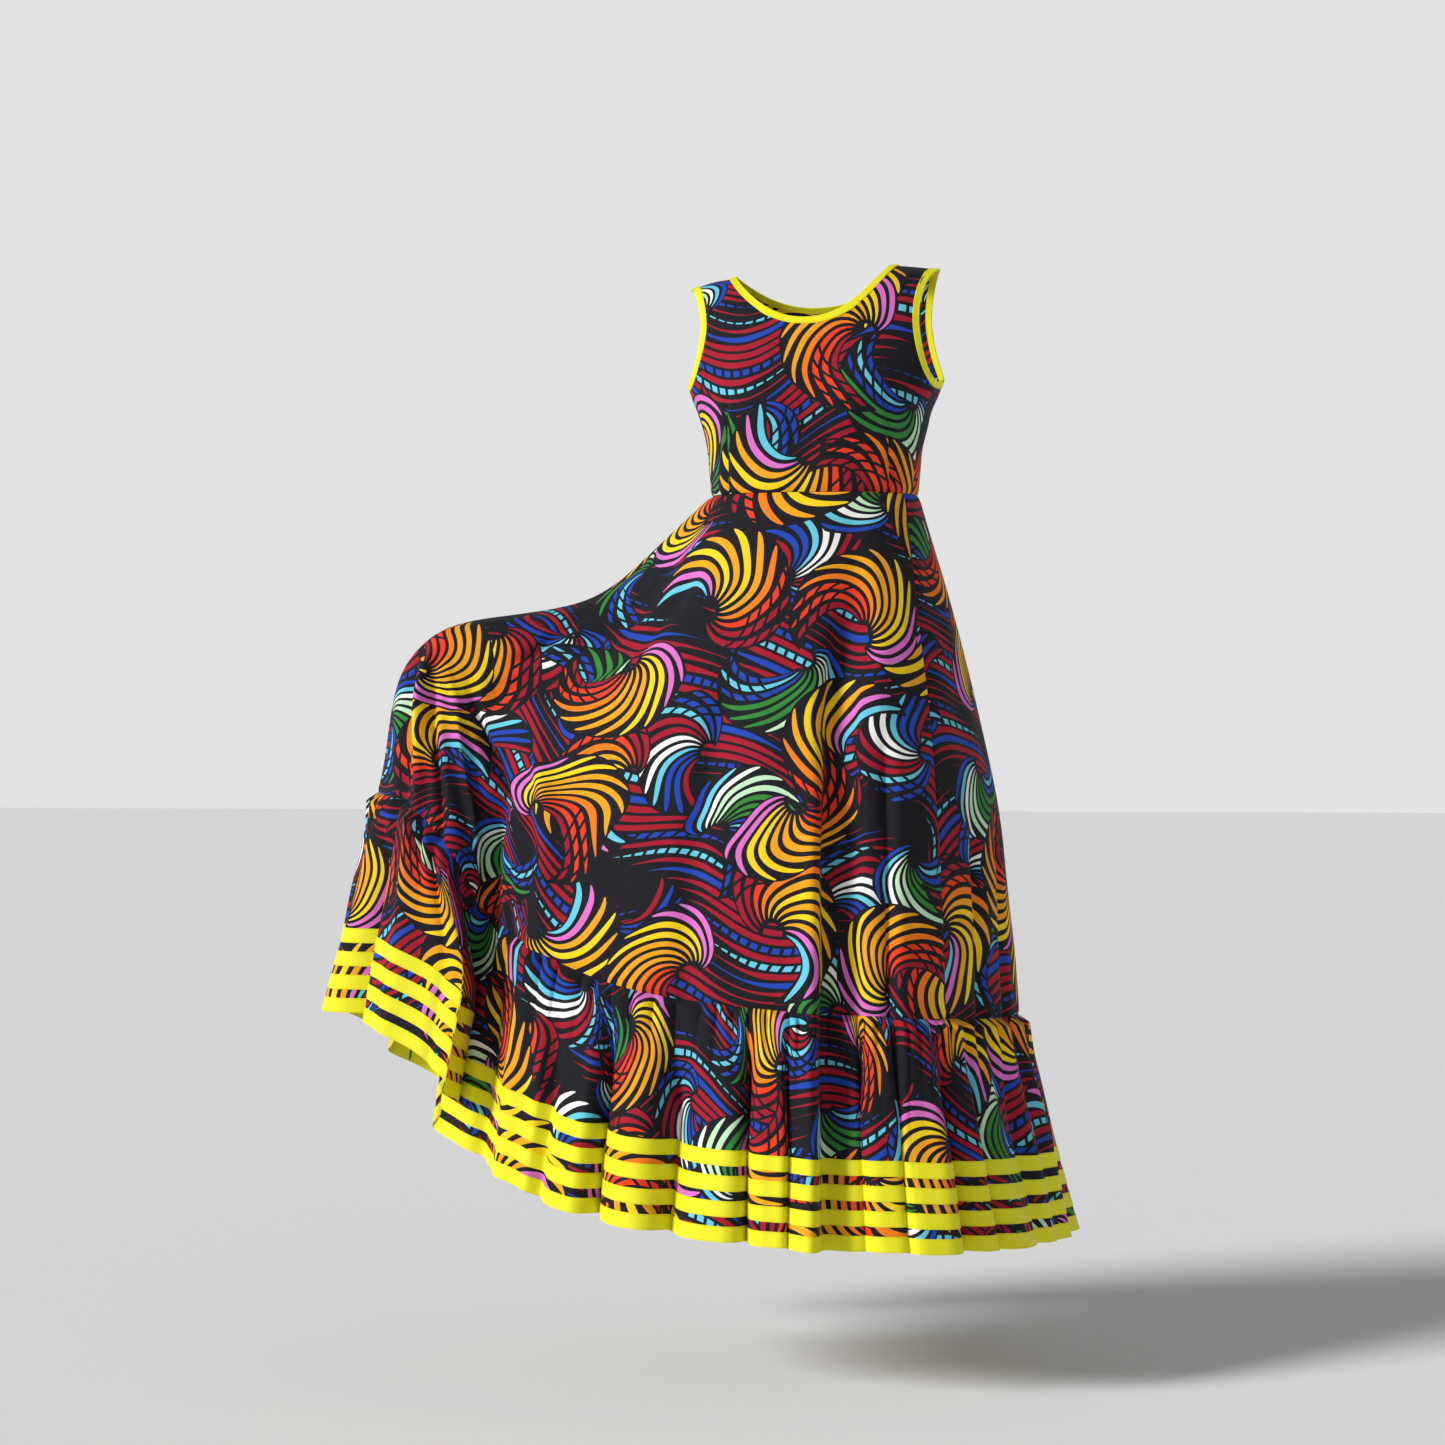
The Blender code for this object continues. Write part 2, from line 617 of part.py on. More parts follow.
def make_ruffle(skirt_points, skirt_normals, collection):
    foot = finer(skirt_points[-1])
    foot_normals = unit(finer(skirt_normals[-1]))
    count = FOLD_COUNT * RUFFLE_COLUMNS_PER_FOLD
    place, share = np.meshgrid(np.arange(count) / RUFFLE_COLUMNS_PER_FOLD, RUFFLE_ROWS)
    points = ruffle(place, share, foot)
    normals = ring_normals(points)
    # The gathered edge follows the skirt's edge, so the two walls meet edge to edge.
    normals[0] = foot_normals
    lower = unit(np.cross(foot_normals, np.roll(foot, -1, axis=0) - np.roll(foot, 1, axis=0)))
    points[0] += 1.5 * SEAM_GAP * np.where(lower[:, 2:] < 0, lower, -lower)
    seams = {
        "ruffle_front": (SIDE_SEAM_RIGHT, SIDE_SEAM_LEFT),
        "ruffle_back": (SIDE_SEAM_LEFT, FOLD_COUNT + SIDE_SEAM_RIGHT),
    }
    for name, ends in seams.items():
        columns = columns_between(*ends, RUFFLE_COLUMNS_PER_FOLD)
        panel(name, take_columns(points, columns), take_columns(normals, columns), PRINT, collection)
    return points, normals


def make_ribbons(ruffle_points, ruffle_normals, collection):
    top, hem = ruffle_points[-2:]
    top_normal, hem_normal = ruffle_normals[-2:]
    for number in range(1, RIBBON_COUNT + 1):
        start = RIBBON_MARGIN + (number - 1) * RIBBON_PITCH
        rows = []
        normals = []
        for distance in (start, start + RIBBON_WIDTH):
            share = distance / BAND_ZONE
            rows.append(top + share * (hem - top))
            normals.append(unit(top_normal + share * (hem_normal - top_normal)))
        rows = np.stack(rows)
        normals = np.stack(normals)
        inner = rows + LAID_GAP * normals
        outer = inner + RIBBON_WALL * normals
        make_wall(f"ribbon_{number}", outer, inner, YELLOW, collection, ring=True)


def strip_beside(grid, centre, before, after):
    """Rows of three points: the centre column and a point each side of it, within the neighbouring cells."""
    middle = grid[:, centre]
    sides = []
    for neighbour in (grid[:, before], grid[:, after]):
        across = neighbour - middle
        length = np.linalg.norm(across, axis=-1, keepdims=True)
        sides.append(middle + across * np.minimum(1.0, TAPE_HALF_WIDTH / length))
    return np.stack([sides[0], middle, sides[1]], axis=1)


def make_zip_tape(back, skirt_points, skirt_normals, collection):
    """The tape behind the centre back seam, from the neck binding down into the skirt."""
    bodice = torso(*np.concatenate([back[:, :, -2:], mirrored(back)[:, :, 1:2]], axis=2))
    bodice_normals = torso_frame(*back[:, :, -1:])[2]
    upper = strip_beside(bodice, 1, 0, 2)
    lower = strip_beside(skirt_points[: TAPE_SKIRT_ROWS + 1], 0, -1, 1)
    lower_normals = skirt_normals[: TAPE_SKIRT_ROWS + 1, :1]
    # At the waist the walls of bodice and skirt bend apart, so the tape crosses there on one row.
    points = np.concatenate([upper[:-1], lower])
    normals = np.concatenate([bodice_normals[:-1], lower_normals])
    normals[len(upper) - 1] = unit(bodice_normals[-1] + lower_normals[0])
    outer = points - (WALL + 2 * LAID_GAP) * normals
    make_wall("zip_tape", outer, outer - TAPE_WALL * normals, BLACK_TAPE, collection)


def box(bm, size, centre):
    made = bmesh.ops.create_cube(bm, size=1.0)
    bmesh.ops.scale(bm, vec=size, verts=made["verts"])
    bmesh.ops.translate(bm, vec=centre, verts=made["verts"])
    return made["verts"]


def rod(bm, radius, length, segments=16):
    """A rod along X round the origin."""
    made = bmesh.ops.create_cone(
        bm, cap_ends=True, segments=segments, radius1=radius, radius2=radius, depth=length
    )
    matrix = np.array([(0, 0, 1), (0, 1, 0), (-1, 0, 0)], float)
    for vertex in made["verts"]:
        vertex.co = matrix @ np.array(vertex.co)
    return made["verts"]


def add_boolean(obj, operation, name, fill, collection):
    """Join or cut obj with a helper that sits where obj sits and is left out of the model."""
    bm = bmesh.new()
    fill(bm)
    mesh = bpy.data.meshes.new(name)
    bm.to_mesh(mesh)
    bm.free()
    other = bpy.data.objects.new(name, mesh)
    other.location = obj.location
    other.rotation_euler = obj.rotation_euler
    other.hide_render = True
    other.display_type = "WIRE"
    collection.objects.link(other)
    modifier = obj.modifiers.new(name, "BOOLEAN")
    modifier.operation = operation
    modifier.solver = "EXACT"
    modifier.object = other


def make_slider(back, collection, cutters):
    """Slider and pull tab on the centre back seam. Both are modelled round the pin, facing +Y."""
    upper, lower = torso(*back[:, :2, -1])
    down = unit((lower - upper) * np.array([0, 1, 1]))
    pitch = math.atan2(down[1], -down[2])
    across, along, thick = SLIDER_SIZE
    pin = (upper + lower) / 2 + (SLIDER_GAP + thick + PIN_HEIGHT) * np.array([0, -down[2], down[1]])

    bm = bmesh.new()
    box(bm, (across, thick, along), (0, -PIN_HEIGHT - thick / 2, 0))
    slider = make_object("zip_slider", bm, make_material("zip_slider", BLACK_METAL), collection)
    slider.location = pin
    slider.rotation_euler = (pitch, 0.0, 0.0)
    # The ears stand on the middle of the plate and close over the pin.
    ear_height = PIN_HEIGHT + PIN_RADIUS + EAR_WALL / 2 + thick / 2
    ear_y = PIN_RADIUS + EAR_WALL / 2 - ear_height / 2
    for name, side in (("left_ear", 1), ("right_ear", -1)):
        centre = (side * (across - EAR_WALL) / 2, ear_y, 0)
        size = (EAR_WALL, ear_height, EAR_LENGTH)
        add_boolean(slider, "UNION", name, lambda bm, size=size, centre=centre: box(bm, size, centre), cutters)
    add_boolean(slider, "UNION", "pin", lambda bm: rod(bm, PIN_RADIUS, across - EAR_WALL), cutters)

    bm = bmesh.new()
    rod(bm, EYE_RADIUS, EYE_WIDTH, segments=20)
    pull = make_object("zip_pull", bm, make_material("zip_pull", BLACK_METAL), collection)
    pull.location = pin
    pull.rotation_euler = (pitch - math.radians(PULL_LEAN_DEG), 0.0, 0.0)
    # The tab's wall is a little thinner than the neck's, so that no two faces lie in one plane.
    pieces = {
        "pull_neck": (EYE_WIDTH, PULL_WALL, PIN_RADIUS, NECK_LENGTH + PIN_RADIUS),
        "pull_tab": (PULL_WIDTH, PULL_WALL * 0.98, NECK_LENGTH, PULL_LENGTH),
    }
    for name, (width, wall, start, end) in pieces.items():
        size = (width, wall, end - start)
        centre = (0, 0, -(start + end) / 2)
        add_boolean(pull, "UNION", name, lambda bm, size=size, centre=centre: box(bm, size, centre), cutters)
    hole_radius = PIN_RADIUS + CLEARANCE
    add_boolean(pull, "DIFFERENCE", "pull_hole", lambda bm: rod(bm, hole_radius, 2 * EYE_WIDTH), cutters)


def build():
    clear_scene()
    collection = bpy.data.collections.new("ankara_dress")
    cutters = bpy.data.collections.new("cutters")
    for each in (collection, cutters):
        bpy.context.scene.collection.children.link(each)
    back = make_bodice(collection)
    skirt_points, skirt_normals = make_skirt(collection)
    ruffle_points, ruffle_normals = make_ruffle(skirt_points, skirt_normals, collection)
    make_ribbons(ruffle_points, ruffle_normals, collection)
    make_zip_tape(back, skirt_points, skirt_normals, collection)
    make_slider(back, collection, cutters)


build()
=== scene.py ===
"""Looks of a sleeveless ankara wax print dress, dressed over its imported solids. Metres, +Z up.

Every cloth piece is a thin wall made by the same formulas as its solid, with finer points, folds, darts and
gathers. Each point also keeps its place on the flat cloth, in metres, and the printed pattern follows that.
"""

import math
from functools import partialmethod

import bpy
import numpy as np
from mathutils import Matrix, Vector


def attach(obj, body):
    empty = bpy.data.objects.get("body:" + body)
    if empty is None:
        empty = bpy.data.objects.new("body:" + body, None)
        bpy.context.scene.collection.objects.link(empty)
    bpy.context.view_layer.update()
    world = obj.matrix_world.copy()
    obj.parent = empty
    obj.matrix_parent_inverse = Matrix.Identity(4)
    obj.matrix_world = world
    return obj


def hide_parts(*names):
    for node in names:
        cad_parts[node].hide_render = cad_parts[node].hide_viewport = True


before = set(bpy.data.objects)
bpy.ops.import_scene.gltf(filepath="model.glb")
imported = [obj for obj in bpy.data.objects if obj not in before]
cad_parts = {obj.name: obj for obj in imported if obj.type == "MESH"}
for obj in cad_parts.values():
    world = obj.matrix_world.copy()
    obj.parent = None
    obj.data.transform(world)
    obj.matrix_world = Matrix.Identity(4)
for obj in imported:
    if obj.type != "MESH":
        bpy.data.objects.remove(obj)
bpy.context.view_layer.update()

BODY = "dress"
RNG = np.random.default_rng(11)

# Walls of cloth, and the gap under what is sewn flat onto it
CLOTH = 0.0007
BINDING_WALL = 0.0025
RIBBON_WALL = 0.0005
INNER_RIBBON_WALL = 0.0004
LAID_GAP = 0.0004

# Bodice, as the solids have it
WAIST_Z = -0.315
WAIST_HALF_WIDTH = 0.1455
WAIST_HALF_DEPTH = 0.110
SHOULDER_ROLL = 0.060  # height over which the sections close to the shoulder line
ROLL_LENGTH = 0.115  # length of the cloth over that height
SHOULDER_SLOPE = 0.17
SHOULDER_TILT = 0.060  # the side of the lifting arm hangs lower
SECTION_POWER = 2.35
NECK_HALF_WIDTH = 0.1095
NECK_DEPTH_FRONT = 0.074
NECK_DEPTH_BACK = 0.040
NECK_POWER = 2.2
SIDE_SEAM_DEG = 16.0  # the side seams lie this far forward of the sides
BUST_FULLNESS = 0.012
BUST_X = 0.080
BUST_Z = -0.190
BUST_SPREAD = 0.060
BINDING_WIDTH = 0.010
BINDING_OVERLAP = 0.003  # of the cloth under the binding
BINDING_POINTS = 28  # round the strip's section
BINDING_BLUNTNESS = 0.32  # 1 is a round section, 0 a square one
PUCKER_HEIGHT = 0.00025
ARMHOLE_ROUNDING = 6  # rounds of evening that take the corners off a bound edge
NECK_ROUNDING = 2
METRES_PER_DEGREE = 0.003  # round the bodice
SHOULDER_CELLS = 18
NECK_CELLS = 42
ARMHOLE_CELLS = 56
SIDE_CELLS = 36
EVENING_ROUNDS = 4000
DART_X = 0.111
DART_TOP_Z = -0.187
DART_DEPTH = 0.0024
DART_HALF_WIDTH = 0.0026
DART_INTAKE = 0.024  # cloth that each dart takes up at the waist
DART_BANK = (0.0012, 0.007, 0.006)  # height, distance from the dart and half width of the cloth pushed up by it
DRAG_HEIGHT = 0.0009  # of the bodice's faint drag lines
WAIST_NIP = (0.0024, 0.004)  # depth and half width

BODICE_SECTIONS = np.array([
    # height, half width, front depth, back depth
    (0.000, 0.196, 0.088, 0.086),
    (-0.060, 0.192, 0.093, 0.094),
    (-0.110, 0.189, 0.104, 0.104),
    (-0.155, 0.180, 0.114, 0.108),
    (-0.200, 0.163, 0.117, 0.106),
    (-0.260, 0.1495, 0.113, 0.104),
    (WAIST_Z, WAIST_HALF_WIDTH, WAIST_HALF_DEPTH, WAIST_HALF_DEPTH),
])
ARMHOLE_EDGE = np.array([
    # front height, front angle, back height, back angle, from the underarm to the shoulder tip
    (-0.160, 16.0, -0.160, 16.0),
    (-0.146, 28.0, -0.155, -3.0),
    (-0.121, 35.5, -0.141, -19.0),
    (-0.090, 40.0, -0.114, -30.5),
    (-0.060, 40.5, -0.081, -36.0),
    (-0.034, 38.5, -0.050, -37.0),
    (-0.014, 35.0, -0.022, -34.5),
    (-0.003, 31.0, -0.005, -31.0),
    (0.000, 28.2, 0.000, -28.2),
])
# Waist angles under the underarm, the neck point and the centre
WAIST_SPREAD_FRONT = (SIDE_SEAM_DEG, 44.0, 90.0)
WAIST_SPREAD_BACK = (SIDE_SEAM_DEG, -25.0, -90.0)

# Skirt, as the solids have it but for four valleys under the lifted side, where the hem laps over
HIP_SHARE = 0.29  # shares of the skirt's length
GRIP_SHARE = 0.61
FLARE_POWER = 1.7
GRIP = np.array((-0.526, -0.060, -0.515))
LIFTED_HIP = np.array((-0.292, -0.012, -0.455))
GRIP_KEEP = 0.30  # share of its spread that the cloth keeps in the grip
HIP_KEEP = 0.85
GRIP_PLACE = 9.0  # counted in folds

FOLDS = np.array([
    # waist angle, foot x, foot y, foot z, lift by the grip, depth of the ruffle's valley after it, and how far
    # that valley is moved along, in folds
    (0, 0.000, 0.268, -1.030, 0.00, 0.046, 0.00),
    (17, -0.108, 0.258, -1.020, 0.00, 0.052, 0.10),
    (33, -0.212, 0.233, -1.001, 0.00, 0.044, -0.12),
    (47, -0.312, 0.200, -0.978, 0.00, 0.050, 0.05),
    (60, -0.402, 0.157, -0.948, 0.15, 0.046, -0.08),
    (71, -0.486, 0.112, -0.905, 0.45, 0.046, 0.06),
    (81, -0.562, 0.088, -0.825, 0.85, 0.040, 0.00),
    (89, -0.630, 0.042, -0.740, 1.00, 0.036, 0.05),
    (96, -0.612, -0.030, -0.733, 1.00, 0.044, 0.04),
    (104, -0.552, -0.098, -0.748, 1.00, 0.004, 0.15),
    (113, -0.490, -0.130, -0.813, 0.85, 0.056, 0.03),
    (123, -0.433, -0.105, -0.905, 0.50, 0.010, 0.00),
    (135, -0.350, -0.180, -0.947, 0.15, 0.012, 0.00),
    (147, -0.267, -0.215, -0.978, 0.00, 0.052, -0.15),
    (159, -0.187, -0.235, -0.996, 0.00, 0.036, 0.00),
    (170, -0.105, -0.245, -1.006, 0.00, 0.054, 0.18),
    (181, -0.030, -0.252, -1.013, 0.00, 0.028, -0.05),
    (191, 0.026, -0.250, -1.018, 0.00, 0.010, 0.00),
    (202, 0.076, -0.214, -1.022, 0.00, 0.046, -0.25),
    (214, 0.122, -0.230, -1.022, 0.00, 0.036, -0.38),
    (228, 0.160, -0.208, -1.026, 0.00, 0.042, 0.18),
    (242, 0.197, -0.168, -1.029, 0.00, 0.026, -0.12),
    (256, 0.240, -0.105, -1.034, 0.00, 0.018, -0.05),
    (270, 0.272, -0.030, -1.037, 0.00, 0.046, 0.05),
    (287, 0.281, 0.060, -1.040, 0.00, 0.050, -0.08),
    (309, 0.232, 0.165, -1.040, 0.00, 0.046, 0.10),
    (334, 0.125, 0.241, -1.037, 0.00, 0.052, 0.00),
])
FOLD_COUNT = len(FOLDS)
HEM_SLIDES = np.array([
    # place in folds, metres by which the hem is pushed along: the fold under the lifted side laps over
    (8.4, 0.0),
    (9.2, 0.022),
    (9.8, 0.058),
    (10.0, 0.066),
    (10.25, 0.030),
    (10.5, -0.012),
    (10.75, -0.014),
    (11.1, -0.006),
    (11.6, 0.0),
])
SIDE_SEAM_RIGHT = 6  # counted in folds
SIDE_SEAM_LEFT = 21
SEAM_NIPS = ((0.0022, 0.006), (0.0020, 0.006))  # depth in metres and half width in shares, at waist and foot
SIDE_NIP = (0.0012, 0.0025)  # depth and half width at the sides of a panel
SKIRT_UNEVENNESS = (0.0016, 0.0011)  # broad and narrow

# Soft folds of the skirt: each is a line of (place in folds, share of length), a half width in metres,
# and a height, below 0 for a valley
CREASES = {
    "ridge under the grip": ([(9.15, 0.62), (9.4, 0.72), (9.25, 0.87), (9.15, 1.0)], 0.012, 0.015),
    "valley behind the grip": ([(8.6, 0.62), (8.6, 0.75), (8.6, 1.0)], 0.013, -0.014),
    "valley beside the grip": ([(9.5, 0.62), (9.8, 0.72), (9.8, 0.87), (9.7, 1.0)], 0.011, -0.011),
    "soft ridge beside the grip": ([(9.7, 0.62), (10.4, 0.68), (10.5, 0.74), (10.6, 0.86)], 0.013, 0.010),
    "drawn valley": (
        [(10.4, 0.60), (10.8, 0.67), (11.1, 0.71), (11.3, 0.76), (11.0, 0.87), (10.8, 1.0)], 0.017, -0.024
    ),
    "ridge past the drawn valley": ([(11.5, 0.58), (11.9, 0.70), (12.0, 0.82), (11.8, 1.0)], 0.022, 0.014),
    "main valley": ([(17.85, 0.22), (17.5, 0.36), (17.45, 0.62), (17.5, 1.0)], 0.019, -0.022),
    "ridge before the main valley": ([(16.95, 0.50), (16.95, 1.0)], 0.014, 0.010),
    "front left valley": ([(19.1, 0.45), (19.05, 1.0)], 0.014, -0.017),
    "front left ridge": ([(18.4, 0.30), (18.4, 1.0)], 0.016, 0.008),
    "small valley": ([(22.15, 0.60), (22.05, 1.0)], 0.012, -0.012),
    "side valley": ([(23.2, 0.60), (22.9, 1.0)], 0.011, -0.009),
    "drape from the waist": ([(12.5, 0.10), (12.0, 0.30), (11.4, 0.47), (10.9, 0.58)], 0.022, -0.011),
    "upper tuck": ([(9.3, 0.33), (10.1, 0.40), (10.65, 0.47)], 0.009, -0.010),
    "long centre fold": ([(14.6, 0.35), (14.4, 0.70), (14.5, 1.0)], 0.024, -0.011),
    "back right valley": ([(3.4, 0.30), (3.5, 1.0)], 0.020, -0.018),
    "back centre right valley": ([(1.4, 0.25), (1.5, 1.0)], 0.020, -0.017),
    "back centre left valley": ([(25.6, 0.25), (25.5, 1.0)], 0.020, -0.018),
    "back left valley": ([(24.4, 0.35), (24.5, 1.0)], 0.018, -0.014),
    "back grip valley": ([(6.9, 0.58), (6.2, 0.72), (5.5, 1.0)], 0.016, -0.017),
}

# Ruffle and ribbons
RUFFLE_LENGTH = 0.314
RUFFLE_FLARE = 0.085
WAVE_GROWN = 0.60  # share of the ruffle's length at which its waves are full
VALLEY_POWER = 1.4  # over 1, so that the waves are broad and the valleys between them narrow
VALLEY_DEEPER = 1.08  # than in the solids
WAVE_SKEW = 0.09  # folds by which each wave leans, so that its front is long and its far side short
WAVE_ROUNDING = 0.011  # metres by which the cloth slides along, so that ridges are broad and valleys tight
USUAL_VALLEY = 0.046  # a valley of this depth slides by just that much
SMALL_WAVE = 0.0045
UNEVENNESS = 0.003
PUFF_SHARE = 0.6  # of a gather's depth, by which the whole ruffle stands out under its seam
PUFF_FADE = 0.2
GATHERS_PER_FOLD = 3
GATHER_DEPTH = 0.0140
GATHER_START = 0.035
GATHER_SHIFT = RNG.uniform(-0.28, 0.28, FOLD_COUNT * GATHERS_PER_FOLD)
GATHER_STRENGTH = RNG.uniform(0.55, 1.35, FOLD_COUNT * GATHERS_PER_FOLD)
GATHER_REACH = RNG.uniform(0.12, 0.42, FOLD_COUNT * GATHERS_PER_FOLD)
RIBBON_COUNT = 4
RIBBON_WIDTH = 0.0205
RIBBON_PITCH = 0.0335
RIBBON_MARGIN = 0.003
BAND_ZONE = (RIBBON_COUNT - 1) * RIBBON_PITCH + RIBBON_WIDTH + RIBBON_MARGIN
BAND_START = 1.0 - BAND_ZONE / RUFFLE_LENGTH
RIBBON_EASE = 0.0006  # extra width, so that a band reaches over the edge of the hem

# Fineness
SKIRT_COLUMNS_PER_FOLD = 20
SKIRT_ROWS = 110
RUFFLE_COLUMNS_PER_FOLD = 36
RUFFLE_ROWS = 64
BAND_ROWS = 16
RIBBON_ROWS = 5

# Camera: where the photograph was taken from
CAMERA_AZIMUTH = math.radians(8.0)
CAMERA_DISTANCE = 4.776
CAMERA_ASIDE = -0.1295
CAMERA_HEIGHT = -0.631
LENS = 85.0
FLOOR_Z = -1.535
FLOOR_REACH = 30.0
WALL_LIGHT = 0.76  # up to the height of the first bound, counted in sines over the level
CEILING_LIGHT = 0.16  # past the second bound
LIGHT_BOUNDS = (0.22, 0.60)
KEY_LIGHT = 3.1
KEY_SPREAD = math.radians(14.0)
KEY_DIRECTION = (0.70, 0.55, -0.47)


# Curves and frames

def unit(vectors):
    length = np.linalg.norm(vectors, axis=-1, keepdims=True)
    return vectors / np.maximum(length, 1e-12)


def ease(share):
    share = np.clip(share, 0.0, 1.0)
    return share * share * (3 - 2 * share)


def bump_at(distance, half_width):
    return np.exp(-((distance / half_width) ** 2))


def blunt(values, power):
    """Sines or cosines raised to a power with their signs kept, for a squarer section."""
    return np.sign(values) * np.abs(values) ** power


def joined(first, first_slope, second, second_slope, share):
    """Smooth curve from one value to the next, by the slopes at both."""
    return (
        first * (2 * share**3 - 3 * share**2 + 1)
        + first_slope * (share**3 - 2 * share**2 + share)
        + second * (3 * share**2 - 2 * share**3)
        + second_slope * (share**3 - share**2)
    )


def through(knots, values, at):
    """Smooth curve through the rows of values, which stand at rising knots."""
    knots = np.asarray(knots, float)
    values = np.asarray(values, float)
    at = np.clip(np.asarray(at, float), knots[0], knots[-1])
    slopes = np.gradient(values, knots, axis=0)
    left = np.clip(np.searchsorted(knots, at, side="right") - 1, 0, len(knots) - 2)
    step = knots[left + 1] - knots[left]
    share = (at - knots[left]) / step
    if values.ndim > 1:
        share = share[..., None]
        step = step[..., None]
    return joined(values[left], slopes[left] * step, values[left + 1], slopes[left + 1] * step, share)


def around(values, place):
    """Smooth closed curve through values, one row for each fold, at places counted in folds."""
    values = np.asarray(values, float)
    place = np.asarray(place, float)
    first = np.floor(place).astype(int)
    share = place - first
    if values.ndim > 1:
        share = share[..., None]
    before, here, after, beyond = (values[(first + step) % FOLD_COUNT] for step in (-1, 0, 1, 2))
    return 0.5 * (
        2 * here
        + (after - before) * share
        + (2 * before - 5 * here + 4 * after - beyond) * share**2
        + (3 * here - before - 3 * after + beyond) * share**3
    )


def ring_normals(points):
    """Outward normals of a grid that closes on itself round the dress, with its rows going down."""
    along = np.roll(points, -1, axis=1) - np.roll(points, 1, axis=1)
    return unit(np.cross(np.gradient(points, axis=0), along))


def lengths_along(points, axis):
    """Distance travelled over a grid along one axis, from its first row or column."""
    step = np.linalg.norm(np.diff(points, axis=axis), axis=-1)
    start = np.zeros_like(np.take(step, [0], axis=axis))
    return np.concatenate([start, np.cumsum(step, axis=axis)], axis=axis)


def lengths_round(row):
    """Distance travelled along a closed row of points, from its first point and back to it."""
    return lengths_along(np.concatenate([row, row[:1]])[None], 1)[0]


# Meshes

def grid_faces(rows, columns, closed_rows, closed_columns):
    """Corner numbers of each face of a grid of points, which may close on itself either way."""
    row, column = np.meshgrid(
        np.arange(rows if closed_rows else rows - 1),
        np.arange(columns if closed_columns else columns - 1),
        indexing="ij",
    )
    after = (row + 1) % rows
    beside = (column + 1) % columns
    corners = ((row, column), (after, column), (after, beside), (row, beside))
    return np.stack([one * columns + other for one, other in corners], axis=-1).reshape(-1, 4)


def wall_faces(rows, columns, ring):
    """Faces of a wall whose outer grid comes before its inner grid."""
    inner = rows * columns
    outer = grid_faces(rows, columns, False, ring)
    step = np.arange(columns if ring else columns - 1)
    after = (step + 1) % columns
    low = (rows - 1) * columns
    edges = [(step, after), (low + after, low + step)]
    if not ring:
        step = np.arange(rows - 1) * columns
        after = step + columns
        edges += [(after, step), (step + columns - 1, after + columns - 1)]
    rims = [np.stack([first, last, last + inner, first + inner], axis=-1) for first, last in edges]
    return np.concatenate([outer, outer[:, ::-1] + inner, *rims])


def keep_on_points(mesh, name, vectors):
    layer = mesh.attributes.new(name, "FLOAT_VECTOR", "POINT")
    layer.data.foreach_set("vector", np.ascontiguousarray(vectors, np.float32).ravel())


def placed(name, data):
    """A new object with this data, linked into the scene."""
    obj = bpy.data.objects.new(name, data)
    bpy.context.scene.collection.objects.link(obj)
    return obj


def make_mesh(name, points, faces, cloth, material):
    mesh = bpy.data.meshes.new(name)
    mesh.from_pydata(points.tolist(), [], faces.tolist())
    keep_on_points(mesh, "cloth", cloth)
    mesh.materials.append(material)
    mesh.shade_smooth()
    mesh.set_sharp_from_angle(angle=math.radians(60))
    return placed(name, mesh)


def cloth_wall(name, outer, normals, flat, material, ring=False, wall=CLOTH):
    """A thin closed wall under a grid of outer points; flat holds the grid's places on the cloth, in metres."""
    rows, columns = outer.shape[:2]
    inner = outer - wall * normals
    points = np.concatenate([outer.reshape(-1, 3), inner.reshape(-1, 3)])
    side = np.concatenate([np.zeros(rows * columns), np.ones(rows * columns)])
    cloth = np.column_stack([np.tile(flat.reshape(-1, 2), (2, 1)), side])
    faces = wall_faces(rows, columns, ring)
    # The winding follows the outward normals.
    a, b, c = (points[faces[0, corner]] for corner in range(3))
    if np.dot(np.cross(b - a, c - a), normals[0, 0]) < 0:
        faces = faces[:, ::-1]
    return make_mesh(name, points, faces, cloth, material)


def worn(obj, slot, *nodes):
    """The piece rides on the dress and stands for these nodes."""
    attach(obj, BODY)
    if nodes:
        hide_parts(*nodes)


# Bodice

def level_of(height):
    height = np.asarray(height, float)
    rise = np.clip(1 + height / SHOULDER_ROLL, 0.0, 1.0)
    on_roll = ROLL_LENGTH * np.arcsin(rise) * 2 / math.pi
    return np.where(height < -SHOULDER_ROLL, height + SHOULDER_ROLL, on_roll)


def bodice_section(height):
    return through(-BODICE_SECTIONS[:, 0], BODICE_SECTIONS[:, 1:], -np.asarray(height, float))


def torso(angle, level, tilt=SHOULDER_TILT):
    """Points of the bodice's outer face; angle 0 is +X, 90 the centre front, -90 the centre back."""
    angle = np.radians(np.asarray(angle, float))
    level = np.asarray(level, float)
    roll = np.clip(level / ROLL_LENGTH, 0.0, 1.0) * math.pi / 2
    height = np.where(level < 0, level - SHOULDER_ROLL, SHOULDER_ROLL * (np.sin(roll) - 1))
    half_width, front, back = np.moveaxis(bodice_section(height), -1, 0)
    across = blunt(np.cos(angle), 2 / SECTION_POWER)
    forward = blunt(np.sin(angle), 2 / SECTION_POWER)
    x = half_width * across
    y = -np.where(forward > 0, front, back) * forward * np.cos(roll)
    distance = ((np.abs(x) - BUST_X) ** 2 + (height - BUST_Z) ** 2) / BUST_SPREAD**2
    y = y - BUST_FULLNESS * np.exp(-distance) * ease(forward)
    near_shoulder = ease(1 - height / ARMHOLE_EDGE[0, 0])
    fall = SHOULDER_SLOPE * np.maximum(np.abs(x) - NECK_HALF_WIDTH, 0.0)
    z = height - near_shoulder * (fall - tilt * x)
    return np.stack([x, y, z], axis=-1)


